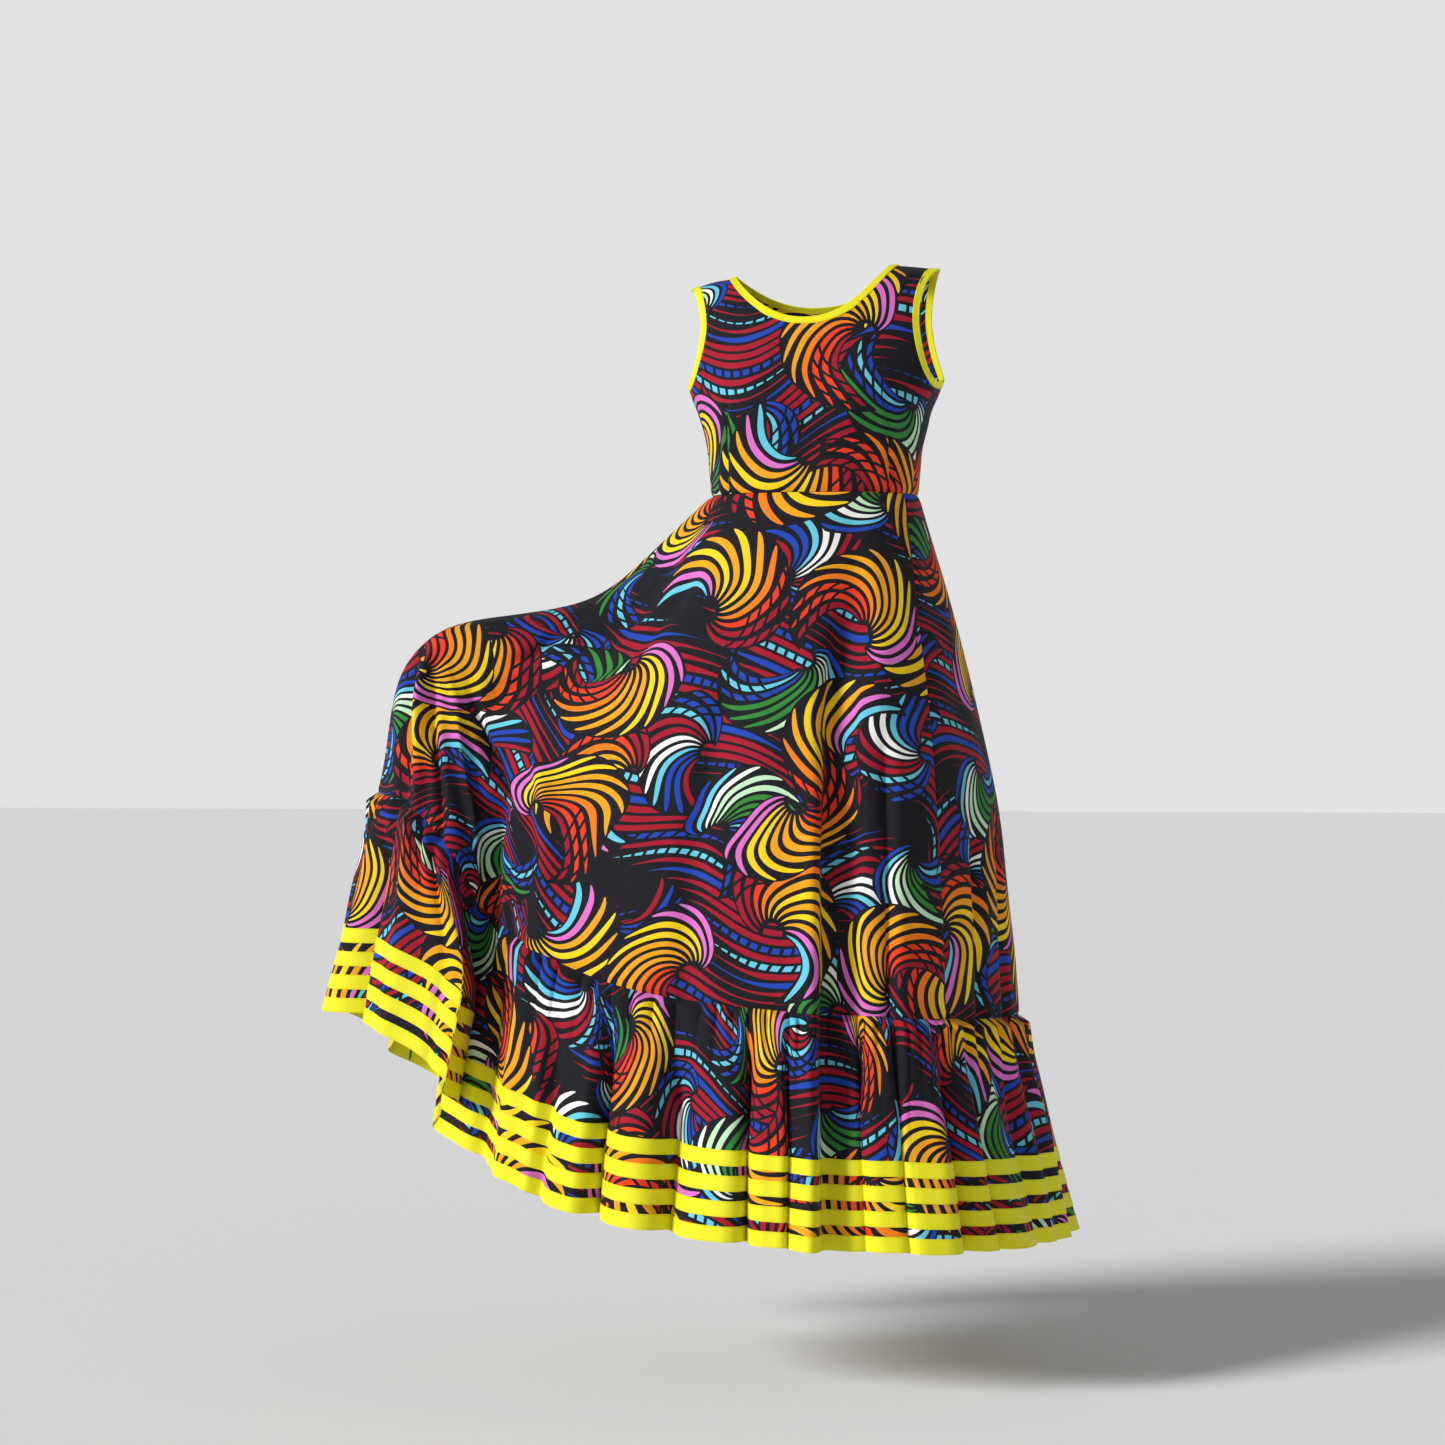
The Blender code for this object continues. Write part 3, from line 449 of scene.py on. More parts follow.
def torso_frame(angle, level, tilt=SHOULDER_TILT):
    """Derivatives of torso by angle and by level, and its outward normal."""
    turn = 0.5
    rise = 0.0005
    by_angle = (torso(angle + turn, level, tilt) - torso(angle - turn, level, tilt)) / (2 * turn)
    upper = np.minimum(level + rise, ROLL_LENGTH)
    by_level = torso(angle, upper, tilt) - torso(angle, level - rise, tilt)
    by_level = by_level / (upper - level + rise)[..., None]
    return by_angle, by_level, unit(np.cross(by_level, by_angle))


def moved_from_opening(angle, level, distance):
    """A closed edge, moved into the cloth by a distance along the surface and square to the edge."""
    points = torso(angle, level, tilt=0.0)
    tangent = np.roll(points, -1, axis=0) - np.roll(points, 1, axis=0)
    by_angle, by_level, normal = torso_frame(angle, level, tilt=0.0)
    inward = unit(np.cross(normal, tangent))
    if (inward * (points - points.mean(axis=0))).sum() < 0:
        inward = -inward
    moved_angle = angle.copy()
    moved_level = level.copy()
    for index in range(len(angle)):
        basis = np.stack([by_angle[index], by_level[index]], axis=1)
        share = np.linalg.lstsq(basis, distance * inward[index], rcond=None)[0]
        moved_angle[index] += share[0]
        moved_level[index] += share[1]
    return moved_angle, np.minimum(moved_level, ROLL_LENGTH)


def armhole_loop():
    """Angle and level of the armhole at +X: underarm, front, shoulder tip, back."""
    rows = np.linspace(0, len(ARMHOLE_EDGE) - 1, ARMHOLE_CELLS + 1)
    edge = through(np.arange(len(ARMHOLE_EDGE)), ARMHOLE_EDGE, rows)
    edge[:, 0::2] = np.minimum(edge[:, 0::2], 0.0)
    front_height, front_angle, back_height, back_angle = edge.T
    angle = np.concatenate([front_angle, back_angle[-2:0:-1]])
    height = np.concatenate([front_height, back_height[-2:0:-1]])
    return angle, level_of(height)


def neck_quarter(depth, sign):
    """Angle and level of the neckline from the neck point to the centre."""
    share = np.sin(np.linspace(1, 0, NECK_CELLS + 1) * math.pi / 2)
    height = -depth * (1 - share**NECK_POWER)
    half_width = bodice_section(height)[:, 0]
    across = (NECK_HALF_WIDTH * share / half_width) ** (SECTION_POWER / 2)
    return sign * np.degrees(np.arccos(across)), level_of(height)


def neck_loop():
    """Angle and level of the neckline: +X neck point, front, -X neck point, back."""
    front_angle, front_level = neck_quarter(NECK_DEPTH_FRONT, 1)
    back_angle, back_level = neck_quarter(NECK_DEPTH_BACK, -1)
    angle = np.concatenate([
        front_angle,
        180 - front_angle[-2::-1],
        180 - back_angle[1:],
        back_angle[-2:0:-1] + 360,
    ])
    level = np.concatenate([front_level, front_level[-2::-1], back_level[1:], back_level[-2:0:-1]])
    return angle, level


def evened(grid):
    """An angle and level grid whose inner points are spread evenly."""
    scale = np.array([METRES_PER_DEGREE, 1.0])[:, None, None]
    grid = grid * scale
    for _ in range(EVENING_ROUNDS):
        along = (grid[:, 1:-1, 2:] - grid[:, 1:-1, :-2]) / 2
        down = (grid[:, 2:, 1:-1] - grid[:, :-2, 1:-1]) / 2
        skew = (grid[:, 2:, 2:] - grid[:, :-2, 2:] - grid[:, 2:, :-2] + grid[:, :-2, :-2]) / 4
        along_square = (along**2).sum(axis=0)
        down_square = (down**2).sum(axis=0)
        both = (along * down).sum(axis=0)
        sideways = grid[:, 1:-1, 2:] + grid[:, 1:-1, :-2]
        upright = grid[:, 2:, 1:-1] + grid[:, :-2, 1:-1]
        grid[:, 1:-1, 1:-1] = (down_square * sideways + along_square * upright - 2 * both * skew) / (
            2 * (along_square + down_square)
        )
    return grid / scale


def bodice_half(front, armhole, neck):
    """Angles and levels of one half panel at +X: columns from the side to the centre, rows from the top."""
    if front:
        arm = [values[ARMHOLE_CELLS::-1] for values in armhole]
        throat = [values[: NECK_CELLS + 1] for values in neck]
        waist_spread = WAIST_SPREAD_FRONT
    else:
        arm = [np.append(values[ARMHOLE_CELLS:], values[0]) for values in armhole]
        arm[0][0] *= -1
        throat = [np.append(values[:1], values[: -NECK_CELLS - 1:-1]) for values in neck]
        throat[0][0] *= -1
        throat[0][1:] -= 360
        waist_spread = WAIST_SPREAD_BACK
    tip, underarm = arm[0][0], (arm[0][-1], arm[1][-1])
    on_shoulder = np.linspace(tip, throat[0][0], SHOULDER_CELLS + 1)[:-1]
    top = np.stack([
        np.append(on_shoulder, throat[0]),
        np.append(np.full(SHOULDER_CELLS, ROLL_LENGTH), throat[1]),
    ])
    waist_level = WAIST_Z + SHOULDER_ROLL
    down_side = np.linspace(0, 1, SIDE_CELLS + 1)[1:]
    side = np.stack([
        np.append(arm[0], underarm[0] + down_side * (SIDE_SEAM_DEG - underarm[0])),
        np.append(arm[1], underarm[1] + down_side * (waist_level - underarm[1])),
    ])
    columns, rows = top.shape[1], side.shape[1]
    marks = (0, SHOULDER_CELLS, columns - 1)
    bottom = np.stack([np.interp(np.arange(columns), marks, waist_spread), np.full(columns, waist_level)])
    down = np.linspace(0, 1, rows)
    centre = np.stack([np.full(rows, top[0, -1]), top[1, -1] + down * (waist_level - top[1, -1])])
    across = np.linspace(0, 1, columns)
    down = down[:, None]
    grid = (
        side[:, :, None] * (1 - across)
        + centre[:, :, None] * across
        + top[:, None] * (1 - down)
        + bottom[:, None] * down
        - top[:, :1, None] * (1 - across) * (1 - down)
        - top[:, -1:, None] * across * (1 - down)
        - bottom[:, :1, None] * (1 - across) * down
        - bottom[:, -1:, None] * across * down
    )
    grid = evened(grid)
    grid[1] = np.minimum(grid[1], ROLL_LENGTH - 0.0002)
    return grid


def mirrored(grid):
    """The same half at -X, running the other way."""
    return np.stack([180 - grid[0], grid[1]])[:, :, ::-1]


def bodice_flat(angle, level, centre):
    """Places on the flat cloth: arc length from the centre line at each level, and the level."""
    turns = np.linspace(0, 1, 25)[:, None, None]
    path = torso(centre + turns * (angle - centre), np.broadcast_to(level, (25, *level.shape)))
    arc = np.linalg.norm(np.diff(path, axis=0), axis=-1).sum(axis=0)
    return np.stack([np.sign(angle - centre) * arc, level], axis=-1)


def bodice_relief(points):
    """Small heights over the plain bodice: darts, the drag beside them and the nip of the waist seam."""
    x, z = points[..., 0], points[..., 2]
    front = points[..., 1] < 0
    fade = ease((DART_TOP_Z - z) / 0.05 + 0.4) * front
    off_dart = np.abs(x) - DART_X
    height = -DART_DEPTH * bump_at(off_dart, DART_HALF_WIDTH) * fade
    bank_height, bank_distance, bank_half_width = DART_BANK
    height = height + bank_height * bump_at(np.abs(off_dart) - bank_distance, bank_half_width) * fade
    height = height - WAIST_NIP[0] * bump_at(z - WAIST_Z, WAIST_NIP[1])
    return height + DRAG_HEIGHT * np.sin(x * 95 + z * 40) * np.sin(z * 55 + x * 13 + 1.0)


def mark_darts(obj, points):
    """How far each point is beyond its dart, and the cloth taken up there: the print jumps by it."""
    x = points[..., 0]
    taken = DART_INTAKE * ease((DART_TOP_Z - points[..., 2]) / (DART_TOP_Z - WAIST_Z))
    marks = np.stack([np.abs(x) - DART_X, np.sign(x) * taken, np.zeros(x.shape)], axis=-1)
    keep_on_points(obj.data, "dart", np.tile(marks.reshape(-1, 3), (2, 1)))


def make_bodice(cotton, yellow):
    armhole = armhole_loop()
    neck = neck_loop()
    inner_armhole = moved_from_opening(*armhole, BINDING_WIDTH - BINDING_OVERLAP)
    inner_neck = moved_from_opening(*neck, BINDING_WIDTH - BINDING_OVERLAP)
    front = bodice_half(True, inner_armhole, inner_neck)
    back = bodice_half(False, inner_armhole, inner_neck)
    panels = {
        "bodice_front": (np.concatenate([front, mirrored(front)[:, :, 1:]], axis=2), 90.0),
        "bodice_back_left": (back, -90.0),
        "bodice_back_right": (mirrored(back), 270.0),
    }
    for name, (grid, centre) in panels.items():
        points = torso(*grid)
        normals = torso_frame(*grid)[2]
        points = points + bodice_relief(points)[..., None] * normals
        flat = bodice_flat(*grid, centre)
        obj = cloth_wall(f"cloth_{name}", points, normals, flat, cotton)
        if name == "bodice_front":
            mark_darts(obj, points)
        worn(obj, "wax_print", name)
    make_bindings(armhole, neck, yellow)


def rounded_loop(points, rounds):
    """A closed row of points with its corners taken off."""
    for _ in range(rounds):
        points = (np.roll(points, 1, axis=0) + 2 * points + np.roll(points, -1, axis=0)) / 4
    return points


def make_bindings(armhole, neck, yellow):
    """Bias strips folded over the edges: a rounded section carried round each opening."""
    right_armhole = (180 - armhole[0], armhole[1])
    loops = {"neck_binding": neck, "armhole_binding_left": armhole, "armhole_binding_right": right_armhole}
    for name, edge in loops.items():
        bound = moved_from_opening(*edge, BINDING_WIDTH)
        rounds = NECK_ROUNDING if name == "neck_binding" else ARMHOLE_ROUNDING
        start = rounded_loop(torso(*edge), rounds)
        across = rounded_loop(torso(*bound), rounds) - start
        normal = unit(rounded_loop(torso_frame(*edge)[2] + torso_frame(*bound)[2], rounds))
        along = lengths_round(start)[:-1]
        half = BINDING_WALL / 2
        turns = np.linspace(0, 2 * math.pi, BINDING_POINTS, endpoint=False)
        wide = blunt(np.cos(turns), BINDING_BLUNTNESS)
        thick = blunt(np.sin(turns), BINDING_BLUNTNESS)
        # Small puckers where the strip is sewn round the curve
        pucker = PUCKER_HEIGHT * np.sin(along / 0.0045) * np.sin(along / 0.031 + 1.0)
        section = []
        flat = []
        for aside, upward in zip(wide, thick):
            # The strip is thickest at its edges, where it is turned in.
            lift = half * upward * (0.82 + 0.18 * np.abs(aside)) + pucker * max(upward, 0)
            share = 0.5 + 0.5 * aside
            section.append(start + across * share + normal * lift[:, None])
            flat.append(np.stack([along, np.full(len(along), BINDING_WIDTH * share)], axis=-1))
        section = np.stack(section)
        faces = grid_faces(*section.shape[:2], True, True)
        points = section.reshape(-1, 3)
        middle = section.mean(axis=0)
        a, b, c = points[faces[0, :3]]
        if np.dot(np.cross(b - a, c - a), a - middle[0]) < 0:
            faces = faces[:, ::-1]
        cloth = np.column_stack([np.stack(flat).reshape(-1, 2), np.zeros(len(points))])
        obj = make_mesh(f"{name}_strip", points, faces, cloth, yellow)
        worn(obj, "yellow_binding", name)


# Skirt

def waist_ring(place):
    place = np.asarray(place, float)
    turn = 360.0 / FOLD_COUNT
    swing = around(FOLDS[:, 0] - turn * np.arange(FOLD_COUNT), place)
    angle = swing + turn * place
    return torso(270 - angle, np.full(place.shape, WAIST_Z + SHOULDER_ROLL))


def skirt(place, share):
    """Points of the skirt's plain outer face; place and share have the same shape."""
    place = np.asarray(place, float)
    share = np.asarray(share, float)

    def plain(where, part):
        waist = waist_ring(where)
        foot = around(FOLDS[:, 1:4], where)
        spread = 1 - (1 - part) ** FLARE_POWER
        return waist + (foot - waist) * np.array([spread, spread, part])

    def drawn(part, pull, keep):
        here = plain(place, part)
        held = plain(np.array(GRIP_PLACE), part)
        lift = around(FOLDS[:, 4], place)[..., None]
        return here + lift * (pull + keep * (here - held) - here)

    knots = np.array([0.0, HIP_SHARE, GRIP_SHARE, 1.0])
    guides = np.stack([
        plain(place, 0.0),
        drawn(HIP_SHARE, LIFTED_HIP, HIP_KEEP),
        drawn(GRIP_SHARE, GRIP, GRIP_KEEP),
        plain(place, 1.0),
    ])
    slopes = np.gradient(guides, knots, axis=0)
    left = np.clip(np.searchsorted(knots, share, side="right") - 1, 0, 2)
    step = (knots[left + 1] - knots[left])[..., None]
    part = (share[..., None] - knots[left][..., None]) / step
    rows = np.indices(left.shape)
    start = (left, *rows)
    end = (left + 1, *rows)
    return joined(guides[start], slopes[start] * step, guides[end], slopes[end] * step, part)


def outwards(place):
    """Level direction square to the skirt's foot, evened over the neighbouring folds."""
    foot = FOLDS[:, 1:3]
    tangent = np.roll(foot, -2, axis=0) - np.roll(foot, 2, axis=0)
    normal = unit(np.stack([tangent[:, 1], -tangent[:, 0], np.zeros(FOLD_COUNT)], axis=-1))
    return unit(around(normal, place))


def crease_heights(place, share, points):
    """Heights of the skirt's soft folds over its plain face."""
    spacing = np.linalg.norm(np.roll(points, -1, axis=1) - np.roll(points, 1, axis=1), axis=-1)
    spacing = spacing / (2 * (place[0, 1] - place[0, 0]))
    height = np.zeros(place.shape)
    for line, half_width, rise in CREASES.values():
        at_place, at_share = np.array(line, float).T
        middle = np.interp(share, at_share, at_place)
        away = (place - middle + FOLD_COUNT / 2) % FOLD_COUNT - FOLD_COUNT / 2
        grows = ease((share - at_share[0]) / 0.16 + 0.15)
        ends = 1.0 if at_share[-1] >= 1.0 else ease((at_share[-1] - share) / 0.08 + 1.0)
        height += rise * grows * ends * bump_at(away * spacing, half_width)
    # Faint unevenness of hanging cotton, and the nips of the waist and foot seams
    angle = 2 * math.pi * place / FOLD_COUNT
    broad, narrow = (most * ease(share / 0.3) for most in SKIRT_UNEVENNESS)
    height += broad * np.sin(5 * angle + 6 * share) * np.sin(11 * share + 3 * angle)
    height += narrow * np.sin(17 * angle + 9 * share + 1.3) * np.sin(5 * angle - 13 * share)
    for (depth, half_width), away in zip(SEAM_NIPS, (share, 1 - share)):
        height -= depth * bump_at(away, half_width)
    return height


def ring_grid(per_fold, shares):
    """Places round the dress, counted in folds, and shares of length, as two grids."""
    return np.meshgrid(np.arange(FOLD_COUNT * per_fold) / per_fold, shares)


def clustered(count):
    """Shares from 0 to 1, closer together at both ends."""
    even = np.linspace(0, 1, count)
    return 0.7 * even + 0.3 * ease(even)


def make_skirt(cotton):
    place, share = ring_grid(SKIRT_COLUMNS_PER_FOLD, clustered(SKIRT_ROWS))
    points = skirt(place, share)
    normals = ring_normals(points)
    points = points + crease_heights(place, share, points)[..., None] * normals
    normals = ring_normals(points)
    seams = {
        "skirt_back_right": (0, SIDE_SEAM_RIGHT),
        "skirt_front": (SIDE_SEAM_RIGHT, SIDE_SEAM_LEFT),
        "skirt_back_left": (SIDE_SEAM_LEFT, FOLD_COUNT),
    }
    for name, (first, last) in seams.items():
        columns = np.arange(first * SKIRT_COLUMNS_PER_FOLD, last * SKIRT_COLUMNS_PER_FOLD + 1) % place.shape[1]
        normal = normals[:, columns]
        panel = nipped_sides(points[:, columns], normal)
        flat = sector_flat(panel)
        obj = cloth_wall(f"cloth_{name}", panel, normal, flat, cotton)
        worn(obj, "wax_print", name)


def nipped_sides(panel, normal):
    """The panel with its two sides turned in a little, as a pressed seam is."""
    from_first = lengths_along(panel, 1)
    from_last = from_first[:, -1:] - from_first
    depth, half_width = SIDE_NIP
    nip = bump_at(from_first, half_width) + bump_at(from_last, half_width)
    return panel - depth * nip[..., None] * normal


def sector_flat(panel):
    """Places of a flared panel on the flat cloth: it is cut as a part of a ring."""
    across = lengths_along(panel, 1)
    across = across - across[:, -1:] / 2
    down = lengths_along(panel, 0)
    middle = down[:, panel.shape[1] // 2]
    width = across[:, -1] - across[:, 0]
    spread = np.polyfit(middle, width, 1)[0]
    inner_radius = width[0] / spread
    radius = inner_radius + down
    turn = across / (inner_radius + middle)[:, None]
    return np.stack([radius * np.sin(turn), -radius * np.cos(turn)], axis=-1)


# Ruffle

def gather_pattern(place, share):
    """Heights of the gathers under the ruffle's top seam: uneven rounded pleats with tight valleys."""
    count = FOLD_COUNT * GATHERS_PER_FOLD
    edges = np.arange(count) + GATHER_SHIFT
    edges = np.concatenate([edges, edges[:1] + count])
    where = (place * GATHERS_PER_FOLD - edges[0]) % count + edges[0]
    index = np.clip(np.searchsorted(edges, where, side="right") - 1, 0, count - 1)
    part = (where - edges[index]) / (edges[index + 1] - edges[index])
    arch = np.sin(math.pi * part) ** 0.7 - 0.55
    fade = np.minimum(share / GATHER_START, 1.0) * np.exp(-share / GATHER_REACH[index])
    return GATHER_DEPTH * GATHER_STRENGTH[index] * arch * fade


def wave_phase(place):
    """Place moved so that each valley of the ruffle stands where the table puts it."""
    middles = np.arange(-1, FOLD_COUNT + 1) + 0.5
    stands = middles + np.concatenate([FOLDS[-1:, 6], FOLDS[:, 6], FOLDS[:1, 6]])
    phase = through(stands, middles, place)
    return phase + WAVE_SKEW * (1 - np.cos(2 * math.pi * phase)) / 2


def ruffle(place, share, foot):
    """Points of the ruffle's outer face under the given points of the skirt's foot."""
    fall = math.sqrt(RUFFLE_LENGTH**2 - RUFFLE_FLARE**2)
    phase = wave_phase(place)
    grown = ease(share / WAVE_GROWN)
    dip = VALLEY_DEEPER * around(FOLDS[:, 5], phase - 0.5) * grown
    valley = dip * ((1 - np.cos(2 * math.pi * phase)) / 2) ** VALLEY_POWER
    near_seam = np.exp(-share / PUFF_FADE)
    puff = PUFF_SHARE * GATHER_DEPTH * near_seam * np.minimum(share / GATHER_START, 1.0)
    out = RUFFLE_FLARE * share**0.85 - valley + puff
    out = out + gather_pattern(place, share) * (0.4 + 0.6 * near_seam)
    # Second, smaller waves that die down towards the hem, and slight unevenness
    swing = np.sin(4 * math.pi * phase + 1.4 * np.sin(1.9 * place))
    out = out + SMALL_WAVE * grown * (1 - 0.45 * share) * swing
    out = out + UNEVENNESS * grown * np.sin(2.7 * place + 5 * share)
    direction = outwards(place)
    sideways = np.stack([-direction[..., 1], direction[..., 0], np.zeros(place.shape)], axis=-1)
    slide = WAVE_ROUNDING * np.sin(2 * math.pi * phase) * dip / USUAL_VALLEY
    slide = slide + through(HEM_SLIDES[:, 0], HEM_SLIDES[:, 1], place) * grown
    down = np.array([0.0, 0.0, -1.0]) * (fall * share)[..., None]
    return foot + out[..., None] * direction + slide[..., None] * sideways + down


def make_ruffle(cotton, ribbon_cloth):
    band = np.linspace(BAND_START, 1.0, BAND_ROWS)
    shares = np.concatenate([clustered(RUFFLE_ROWS) * BAND_START, band[1:]])
    place, share = ring_grid(RUFFLE_COLUMNS_PER_FOLD, shares)
    # The ruffle hangs from the skirt's creased foot.
    foot = skirt(place[:1], np.ones(place[:1].shape))
    foot_normals = ring_normals(skirt(*ring_grid(RUFFLE_COLUMNS_PER_FOLD, (0.97, 1.0))))[-1:]
    near_foot = ring_grid(RUFFLE_COLUMNS_PER_FOLD, (0.99, 1.0))
    creased = crease_heights(*near_foot, skirt(*near_foot))[-1:]
    foot = foot + creased[..., None] * foot_normals
    points = ruffle(place, share, foot)
    normals = ring_normals(points)
    along = lengths_round(points[-1])
    flat = np.stack(np.broadcast_arrays(along[None, :-1], -RUFFLE_LENGTH * share), axis=-1)
    seams = {
        "ruffle_front": (SIDE_SEAM_RIGHT, SIDE_SEAM_LEFT),
        "ruffle_back": (SIDE_SEAM_LEFT, FOLD_COUNT + SIDE_SEAM_RIGHT),
    }
    for name, (first, last) in seams.items():
        columns = np.arange(first * RUFFLE_COLUMNS_PER_FOLD, last * RUFFLE_COLUMNS_PER_FOLD + 1)
        wrapped = columns % place.shape[1]
        panel = nipped_sides(points[:, wrapped], normals[:, wrapped])
        own_flat = flat[:, wrapped].copy()
        own_flat[..., 0] += along[-1] * (columns // place.shape[1])
        obj = cloth_wall(f"cloth_{name}", panel, normals[:, wrapped], own_flat, cotton)
        worn(obj, "wax_print", name)
    make_ribbons(foot, ribbon_cloth)


def make_ribbons(foot, ribbon_cloth):
    """The bands on the ruffle, and what shows of them inside the hem."""
    for number in range(1, RIBBON_COUNT + 1):
        start = RIBBON_MARGIN + (number - 1) * RIBBON_PITCH
        across = np.linspace(0.0, RIBBON_WIDTH + RIBBON_EASE, RIBBON_ROWS)
        shares = BAND_START + (start + across) / RUFFLE_LENGTH
        # One row more at each side gives the normals at the edges.
        shares = np.concatenate([shares[:1] - 0.004, shares, shares[-1:] + 0.004])
        points = ruffle(*ring_grid(RUFFLE_COLUMNS_PER_FOLD, shares), foot)
        normals = ring_normals(points)[1:-1]
        points = points[1:-1]
        along = lengths_round(points[-1])
        down = np.linspace(0, RIBBON_WIDTH, RIBBON_ROWS)[:, None]
        flat = np.stack(np.broadcast_arrays(along[None, :-1], down), axis=-1)
        bands = {
            "band": (LAID_GAP + RIBBON_WALL, RIBBON_WALL, [f"ribbon_{number}"]),
            "inside": (-(CLOTH + LAID_GAP), INNER_RIBBON_WALL, []),
        }
        for side, (offset, wall, nodes) in bands.items():
            outer = points + offset * normals
            name = f"ribbon_{number}_{side}"
            obj = cloth_wall(name, outer, normals, flat, ribbon_cloth, ring=True, wall=wall)
            worn(obj, "yellow_ribbon", *nodes)


# Materials

class Field:
    """A number that varies over the cloth, worked out by Math nodes."""

    def __init__(self, tree, socket):
        self.tree = tree
        self.socket = socket

    def math(self, operation, *others):
        node = self.tree.nodes.new("ShaderNodeMath")
        node.operation = operation
        for entry, value in zip(node.inputs, (self, *others)):
            if isinstance(value, Field):
                self.tree.links.new(value.socket, entry)
            else:
                entry.default_value = value
        return Field(self.tree, node.outputs[0])

    __add__ = partialmethod(math, "ADD")
    __sub__ = partialmethod(math, "SUBTRACT")
    __mul__ = partialmethod(math, "MULTIPLY")
    __truediv__ = partialmethod(math, "DIVIDE")
    less = partialmethod(math, "LESS_THAN")
    more = partialmethod(math, "GREATER_THAN")
    sin = partialmethod(math, "SINE")
    floor = partialmethod(math, "FLOOR")
    part = partialmethod(math, "FRACT")
    size = partialmethod(math, "ABSOLUTE")

    def root(self):
        return self.math("MAXIMUM", 0.0).math("SQRT")

    def even(self):
        """1 where a whole number is even, else 0."""
        return (self * 0.5).part().less(0.25)


def mix_colours(tree, factor, first, second):
    node = tree.nodes.new("ShaderNodeMix")
    node.data_type = "RGBA"
    entries = {"Factor": factor, "A": first, "B": second}
    sockets = {entry.name: entry for entry in node.inputs if entry.type == "RGBA"}
    sockets["Factor"] = node.inputs[0]
    for name, value in entries.items():
        if isinstance(value, Field):
            tree.links.new(value.socket, sockets[name])
        elif isinstance(value, bpy.types.NodeSocket):
            tree.links.new(value, sockets[name])
        else:
            sockets[name].default_value = value
    return next(entry for entry in node.outputs if entry.type == "RGBA")


def colour_steps(tree, field, colours):
    """One colour after another as the field goes from 0 to 1."""
    node = tree.nodes.new("ShaderNodeValToRGB")
    ramp = node.color_ramp
    ramp.interpolation = "CONSTANT"
    while len(ramp.elements) < len(colours):
        ramp.elements.new(1.0)
    for index, colour in enumerate(colours):
        ramp.elements[index].position = index / len(colours)
        ramp.elements[index].color = (*colour, 1.0)
    tree.links.new(field.socket, node.inputs[0])
    return node.outputs[0]


BLACK = (0.006, 0.006, 0.010)
CRIMSON = (0.36, 0.006, 0.022)
SCARLET = (0.80, 0.045, 0.008)
ORANGE = (0.88, 0.20, 0.008)
AMBER = (0.84, 0.36, 0.010)
SUN = (0.90, 0.62, 0.012)
ORCHID = (0.70, 0.16, 0.55)
ROYAL = (0.012, 0.055, 0.42)
SKY = (0.13, 0.55, 0.72)
MINT = (0.52, 0.78, 0.50)
LEAF = (0.03, 0.23, 0.035)
CREAM = (0.86, 0.86, 0.84)

WARM_FAN = (CRIMSON, SCARLET, SCARLET, ORANGE, AMBER, AMBER, AMBER, SUN, SUN, ORCHID, ORCHID)
COOL_FAN = (ROYAL, SKY, ROYAL, LEAF, LEAF, LEAF, MINT, MINT, CREAM, SKY, ROYAL)
FLAME_FAN = (CRIMSON, CRIMSON, SCARLET, ORANGE, AMBER, SUN, AMBER, SUN, AMBER, ORCHID, SKY)
NIGHT_FAN = (ROYAL, ROYAL, SKY, CRIMSON, CRIMSON, CREAM, CREAM, SKY, ROYAL, ROYAL, CRIMSON)
RINGS = (CRIMSON, CRIMSON, ROYAL, CRIMSON, SKY, CRIMSON, ROYAL, CRIMSON)
DASHED_RINGS = (0.0, 0.0, 0.0, 0.0, 1.0, 0.0, 1.0, 0.0)

FANS = (
    # cell width, cell height, shift along, shift down, outer radius, swirl, share of the turn, colours
    (0.310, 0.250, 0.070, 0.010, 0.100, -0.24, 0.50, NIGHT_FAN),
    (0.310, 0.250, 0.000, 0.120, 0.106, 0.28, 0.50, COOL_FAN),
    (0.310, 0.250, 0.160, 0.075, 0.122, -0.26, 0.56, FLAME_FAN),
    (0.310, 0.250, 0.240, 0.170, 0.116, 0.30, 0.52, WARM_FAN),
)
RAYS = 11
RING_PITCH = 0.0128
DASH_PITCH = 0.015


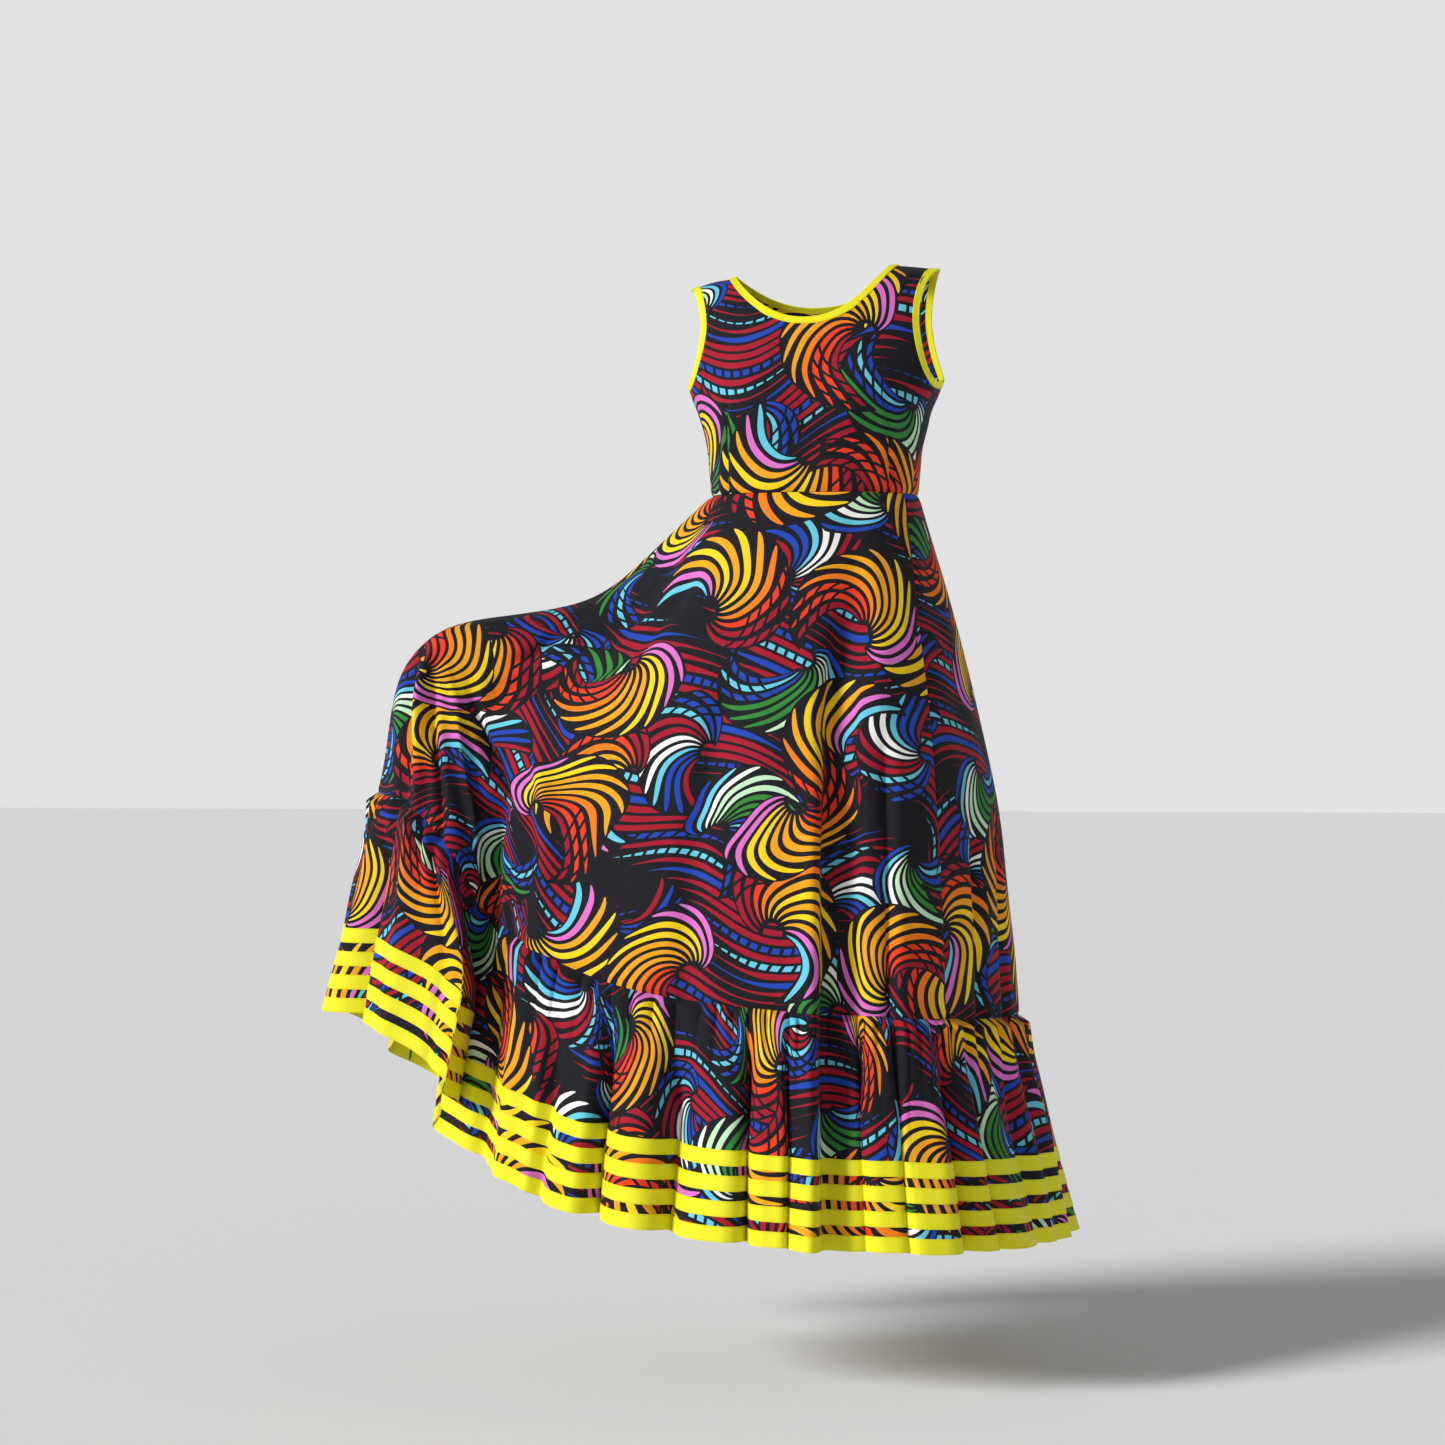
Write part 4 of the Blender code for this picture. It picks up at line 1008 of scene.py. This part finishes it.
def fan_layer(tree, u, v, below, fan):
    """Swirling fans of tapered rays in a half-drop layout, laid over the colour below."""
    width, height, along, down, outer, swirl, share, colours = fan
    inner = 0.16 * outer
    shifted = (u + along) / width
    column = shifted.floor()
    lowered = (v + down) / height + column * 0.5
    row = lowered.floor()
    x = (shifted - column - 0.5) * width
    y = (lowered - row - 0.5) * height
    turned = (column + row * 2.0).even() * 2.0 - 1.0
    x = x * turned
    radius = (x * x + y * y).root()
    turn = y.math("ARCTAN2", x) / (2 * math.pi) + radius * (swirl / outer) + row * 0.37 + column * 0.21
    ray = turn.part() / share
    inside = ray.less(1.0)
    count = ray * RAYS
    index = (count.floor() + 0.5) / RAYS
    across = (count.part() - 0.5).size() * 2.0
    # Rays in the middle of the fan are longest.
    bow = (ray - 0.45) * 1.25
    reach = (bow * bow * -0.42 + 1.0) * outer
    along_ray = (radius - inner) / (reach - inner)
    taper = along_ray * 2.0 - 1.0
    half = (taper * taper * -1.0 + 1.0).root() * 0.60
    on_ray = across.less(half) * inside
    # The outer part of the first rays is broken into dashes.
    dashes = (radius / 0.0125).part().more(0.30)
    whole = ray.more(0.28).math("MAXIMUM", along_ray.less(0.42))
    on_ray = on_ray * dashes.math("MAXIMUM", whole)
    ground = inside * along_ray.less(1.03) * radius.more(inner * 0.7)
    colour = colour_steps(tree, index, colours)
    dark = mix_colours(tree, ground, below, (*BLACK, 1.0))
    return mix_colours(tree, on_ray, dark, colour)


def ring_layer(tree, u, v):
    """The ground: long stripes that flow, swell and taper on black, seen between the fans."""
    flowing = v + (u * 9.0 + 0.7).sin() * 0.045 + (u * 17.0 + v * 5.0).sin() * 0.028
    count = flowing / RING_PITCH
    ring = count.floor()
    # Stripes taper away where this swell sinks below nothing.
    swell = (u * 21.0 + ring * 0.55).sin() * 0.42 + (u * 7.0 - v * 13.0).sin() * 0.20 + 0.38
    on_stripe = ((count.part() - 0.5).size() * 2.0).less(swell.math("MINIMUM", 0.66))
    index = (ring / len(RINGS)).part() + 0.5 / len(RINGS)
    dashed = colour_steps(tree, index, [(share, share, share) for share in DASHED_RINGS])
    along = u / DASH_PITCH + ring * 0.37
    gap = along.part().more(0.32).math("MAXIMUM", Field(tree, dashed) * -1.0 + 1.0)
    colour = colour_steps(tree, index, RINGS)
    return mix_colours(tree, on_stripe * gap, (*BLACK, 1.0), colour)


def new_material(name, roughness, sheen=0.0):
    material = bpy.data.materials.new(name)
    material.use_nodes = True
    tree = material.node_tree
    shader = tree.nodes["Principled BSDF"]
    shader.inputs["Roughness"].default_value = roughness
    shader.inputs["Specular IOR Level"].default_value = 0.2
    shader.inputs["Sheen Weight"].default_value = sheen
    shader.inputs["Sheen Roughness"].default_value = 0.5
    return material, tree, shader


def axes_of(tree, vector):
    """The three parts of a vector."""
    parts = tree.nodes.new("ShaderNodeSeparateXYZ")
    tree.links.new(vector, parts.inputs[0])
    return [Field(tree, entry) for entry in parts.outputs]


def point_value(tree, name):
    """The vector that the mesh keeps under this name, and its first two parts."""
    source = tree.nodes.new("ShaderNodeAttribute")
    source.attribute_name = name
    vector = source.outputs["Vector"]
    return vector, *axes_of(tree, vector)[:2]


def noise(tree, vector, scale, detail=3.0):
    node = tree.nodes.new("ShaderNodeTexNoise")
    node.inputs["Scale"].default_value = scale
    node.inputs["Detail"].default_value = detail
    tree.links.new(vector, node.inputs["Vector"])
    return Field(tree, node.outputs["Fac"])


def weave(u, v, pitch):
    """Height of a plain weave: threads over and under each other."""
    along = (u * (math.pi / pitch)).sin()
    down = (v * (math.pi / pitch)).sin()
    over = (along * down).math("MULTIPLY", 0.5) + 0.5
    return along.size() * over + down.size() * (over * -1.0 + 1.0)


def raise_surface(tree, shader, height, distance, strength=1.0):
    bump = tree.nodes.new("ShaderNodeBump")
    bump.inputs["Distance"].default_value = distance
    bump.inputs["Strength"].default_value = strength
    tree.links.new(height.socket, bump.inputs["Height"])
    tree.links.new(bump.outputs["Normal"], shader.inputs["Normal"])


def stitch_line(u, v, at, pitch=0.0030, width=0.00045):
    """1 on a row of stitches at a distance from the edge."""
    near = (v - at).size().less(width)
    return near * (u / pitch).part().less(0.68)


def make_wax_print():
    material, tree, shader = new_material("wax_print", 0.78, sheen=0.03)
    vector, u, v = point_value(tree, "cloth")
    _, beyond_dart, taken = point_value(tree, "dart")
    printed = u + beyond_dart.more(0.0) * taken
    # The pattern is drawn by hand, so its lines waver a little.
    u_drawn = printed + (v * 31.0).sin() * 0.006 + (v * 83.0 + u * 17.0).sin() * 0.0015
    v_drawn = v + (u * 27.0).sin() * 0.006
    colour = ring_layer(tree, u_drawn, v_drawn)
    for fan in FANS:
        colour = fan_layer(tree, u_drawn, v_drawn, colour, fan)
    # Dye takes unevenly: slow cloudiness and a fine crackle of the wax.
    cloud = noise(tree, vector, 9.0)
    crackle = noise(tree, vector, 420.0, detail=2.0)
    worn_dye = ((cloud - 0.5) * 0.10 + (crackle - 0.5) * 0.10).math("MAXIMUM", 0.0)
    colour = mix_colours(tree, worn_dye, colour, (0.16, 0.12, 0.11, 1.0))
    tree.links.new(colour, shader.inputs["Base Color"])
    rough = cloud * 0.16 + 0.70
    tree.links.new(rough.socket, shader.inputs["Roughness"])
    creases = noise(tree, vector, 26.0, detail=4.0)
    height = weave(u, v, 0.00055) * 0.16 + creases
    raise_surface(tree, shader, height, 0.0012, 0.55)
    return material


YELLOW = (0.84, 0.80, 0.012)
# Deeper yellow painted on the rows of stitches as their shade
PAINTED_STITCH_SHADE = (0.66, 0.60, 0.010)


def yellow_tone_and_stitch_shade(tree, shader, tone, paler, stitches):
    """Yellow with a slow change of tone, and painted shade on the rows of stitches, as if they lay in the
    shadow of their dents.
    """
    colour = mix_colours(tree, tone, (*YELLOW, 1.0), (*paler, 1.0))
    # Painted shade: the rows of stitches are darkened towards a deeper yellow, as the dents they sink into
    # would be shaded.
    colour = mix_colours(tree, stitches * 0.5, colour, (*PAINTED_STITCH_SHADE, 1.0))
    tree.links.new(colour, shader.inputs["Base Color"])


def make_binding_cloth():
    material, tree, shader = new_material("bias_cotton", 0.62, sheen=0.04)
    vector, u, v = point_value(tree, "cloth")
    tone = noise(tree, vector, 60.0)
    stitches = stitch_line(u, v, BINDING_WIDTH - 0.0016)
    yellow_tone_and_stitch_shade(tree, shader, tone, (0.79, 0.74, 0.012), stitches)
    # The strip is cut on the bias, so its weave runs at 45 degrees.
    height = weave(u + v, u - v, 0.0007) * 0.3 + stitches * -1.2 + noise(tree, vector, 140.0) * 0.8
    raise_surface(tree, shader, height, 0.0005, 0.6)
    return material


def make_ribbon_cloth():
    material, tree, shader = new_material("satin_ribbon", 0.46, sheen=0.03)
    vector, u, v = point_value(tree, "cloth")
    tone = noise(tree, vector, 35.0)
    stitches = stitch_line(u, v, 0.0014).math("MAXIMUM", stitch_line(u, v, RIBBON_WIDTH - 0.0014))
    yellow_tone_and_stitch_shade(tree, shader, tone, (0.80, 0.75, 0.012), stitches)
    ribs = (u * (2 * math.pi / 0.0009)).sin() * 0.25
    height = ribs + stitches * -1.2 + noise(tree, vector, 48.0) * 1.6
    raise_surface(tree, shader, height, 0.0005, 0.6)
    return material


def make_tape_cloth():
    material, tree, shader = new_material("zip_tape_weave", 0.85, sheen=0.1)
    place = tree.nodes.new("ShaderNodeTexCoord").outputs["Object"]
    x, _, z = axes_of(tree, place)
    tone = noise(tree, place, 300.0)
    colour = mix_colours(tree, tone, (0.010, 0.010, 0.012, 1.0), (0.030, 0.030, 0.034, 1.0))
    tree.links.new(colour, shader.inputs["Base Color"])
    twill = ((x + z) * (2 * math.pi / 0.0011)).sin()
    raise_surface(tree, shader, twill, 0.0003, 0.8)
    return material


def make_enamel():
    material, tree, shader = new_material("black_enamel", 0.35)
    shader.inputs["Metallic"].default_value = 0.6
    place = tree.nodes.new("ShaderNodeTexCoord").outputs["Object"]
    rub = noise(tree, place, 900.0, detail=5.0)
    colour = mix_colours(tree, rub.more(0.66), (0.015, 0.015, 0.017, 1.0), (0.20, 0.19, 0.18, 1.0))
    tree.links.new(colour, shader.inputs["Base Color"])
    rough = rub * 0.3 + 0.22
    tree.links.new(rough.socket, shader.inputs["Roughness"])
    raise_surface(tree, shader, rub, 0.0001, 0.5)
    return material


def dress_zip():
    finishes = {"zip_tape": make_tape_cloth(), "zip_slider": make_enamel()}
    finishes["zip_pull"] = finishes["zip_slider"]
    for name, material in finishes.items():
        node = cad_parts[name]
        node.data.materials.clear()
        node.data.materials.append(material)


# Studio

def plain_material(name, colour, roughness):
    material, _, shader = new_material(name, roughness)
    shader.inputs["Base Color"].default_value = (*colour, 1.0)
    return material


def make_camera():
    """The camera stands where the photograph was taken from."""
    aside = np.array([math.cos(CAMERA_AZIMUTH), math.sin(CAMERA_AZIMUTH), 0.0])
    away = np.array([math.sin(CAMERA_AZIMUTH), -math.cos(CAMERA_AZIMUTH), 0.0])
    target = CAMERA_ASIDE * aside + np.array([0.0, 0.0, CAMERA_HEIGHT])
    camera = bpy.data.cameras.new("camera")
    camera.lens = LENS
    camera.sensor_width = 36.0
    camera.sensor_fit = "HORIZONTAL"
    view = placed("camera", camera)
    view.location = target + CAMERA_DISTANCE * away
    view.rotation_euler = (math.pi / 2, 0.0, CAMERA_AZIMUTH)
    bpy.context.scene.camera = view


def make_floor():
    mesh = bpy.data.meshes.new("floor")
    sides = ((-1, -1), (1, -1), (1, 1), (-1, 1))
    mesh.from_pydata([(FLOOR_REACH * x, FLOOR_REACH * y, FLOOR_Z) for x, y in sides], [], [(0, 1, 2, 3)])
    mesh.materials.append(plain_material("floor_paper", (0.92, 0.92, 0.92), 0.9))
    placed("floor", mesh)


def make_light():
    """White walls, a dimmer ceiling, and one key light from the viewer's left."""
    world = bpy.data.worlds.new("studio")
    world.use_nodes = True
    tree = world.node_tree
    bpy.context.scene.world = world
    bpy.context.scene.view_settings.view_transform = "Standard"
    direction = tree.nodes.new("ShaderNodeTexCoord").outputs["Generated"]
    strength = tree.nodes.new("ShaderNodeMapRange")
    strength.interpolation_type = "SMOOTHSTEP"
    values = (*LIGHT_BOUNDS, WALL_LIGHT, CEILING_LIGHT)
    for entry, value in zip(("From Min", "From Max", "To Min", "To Max"), values):
        strength.inputs[entry].default_value = value
    tree.links.new(axes_of(tree, direction)[2].socket, strength.inputs["Value"])
    background = tree.nodes["Background"]
    background.inputs["Color"].default_value = (1.0, 1.0, 1.0, 1.0)
    tree.links.new(strength.outputs["Result"], background.inputs["Strength"])
    key = bpy.data.lights.new("key", "SUN")
    key.energy = KEY_LIGHT
    key.angle = KEY_SPREAD
    placed("key", key).rotation_euler = Vector(KEY_DIRECTION).to_track_quat("-Z", "Y").to_euler()


make_camera()
make_floor()
make_light()
cotton = make_wax_print()
yellow = make_binding_cloth()
ribbon_cloth = make_ribbon_cloth()
make_bodice(cotton, yellow)
make_skirt(cotton)
make_ruffle(cotton, ribbon_cloth)
dress_zip()
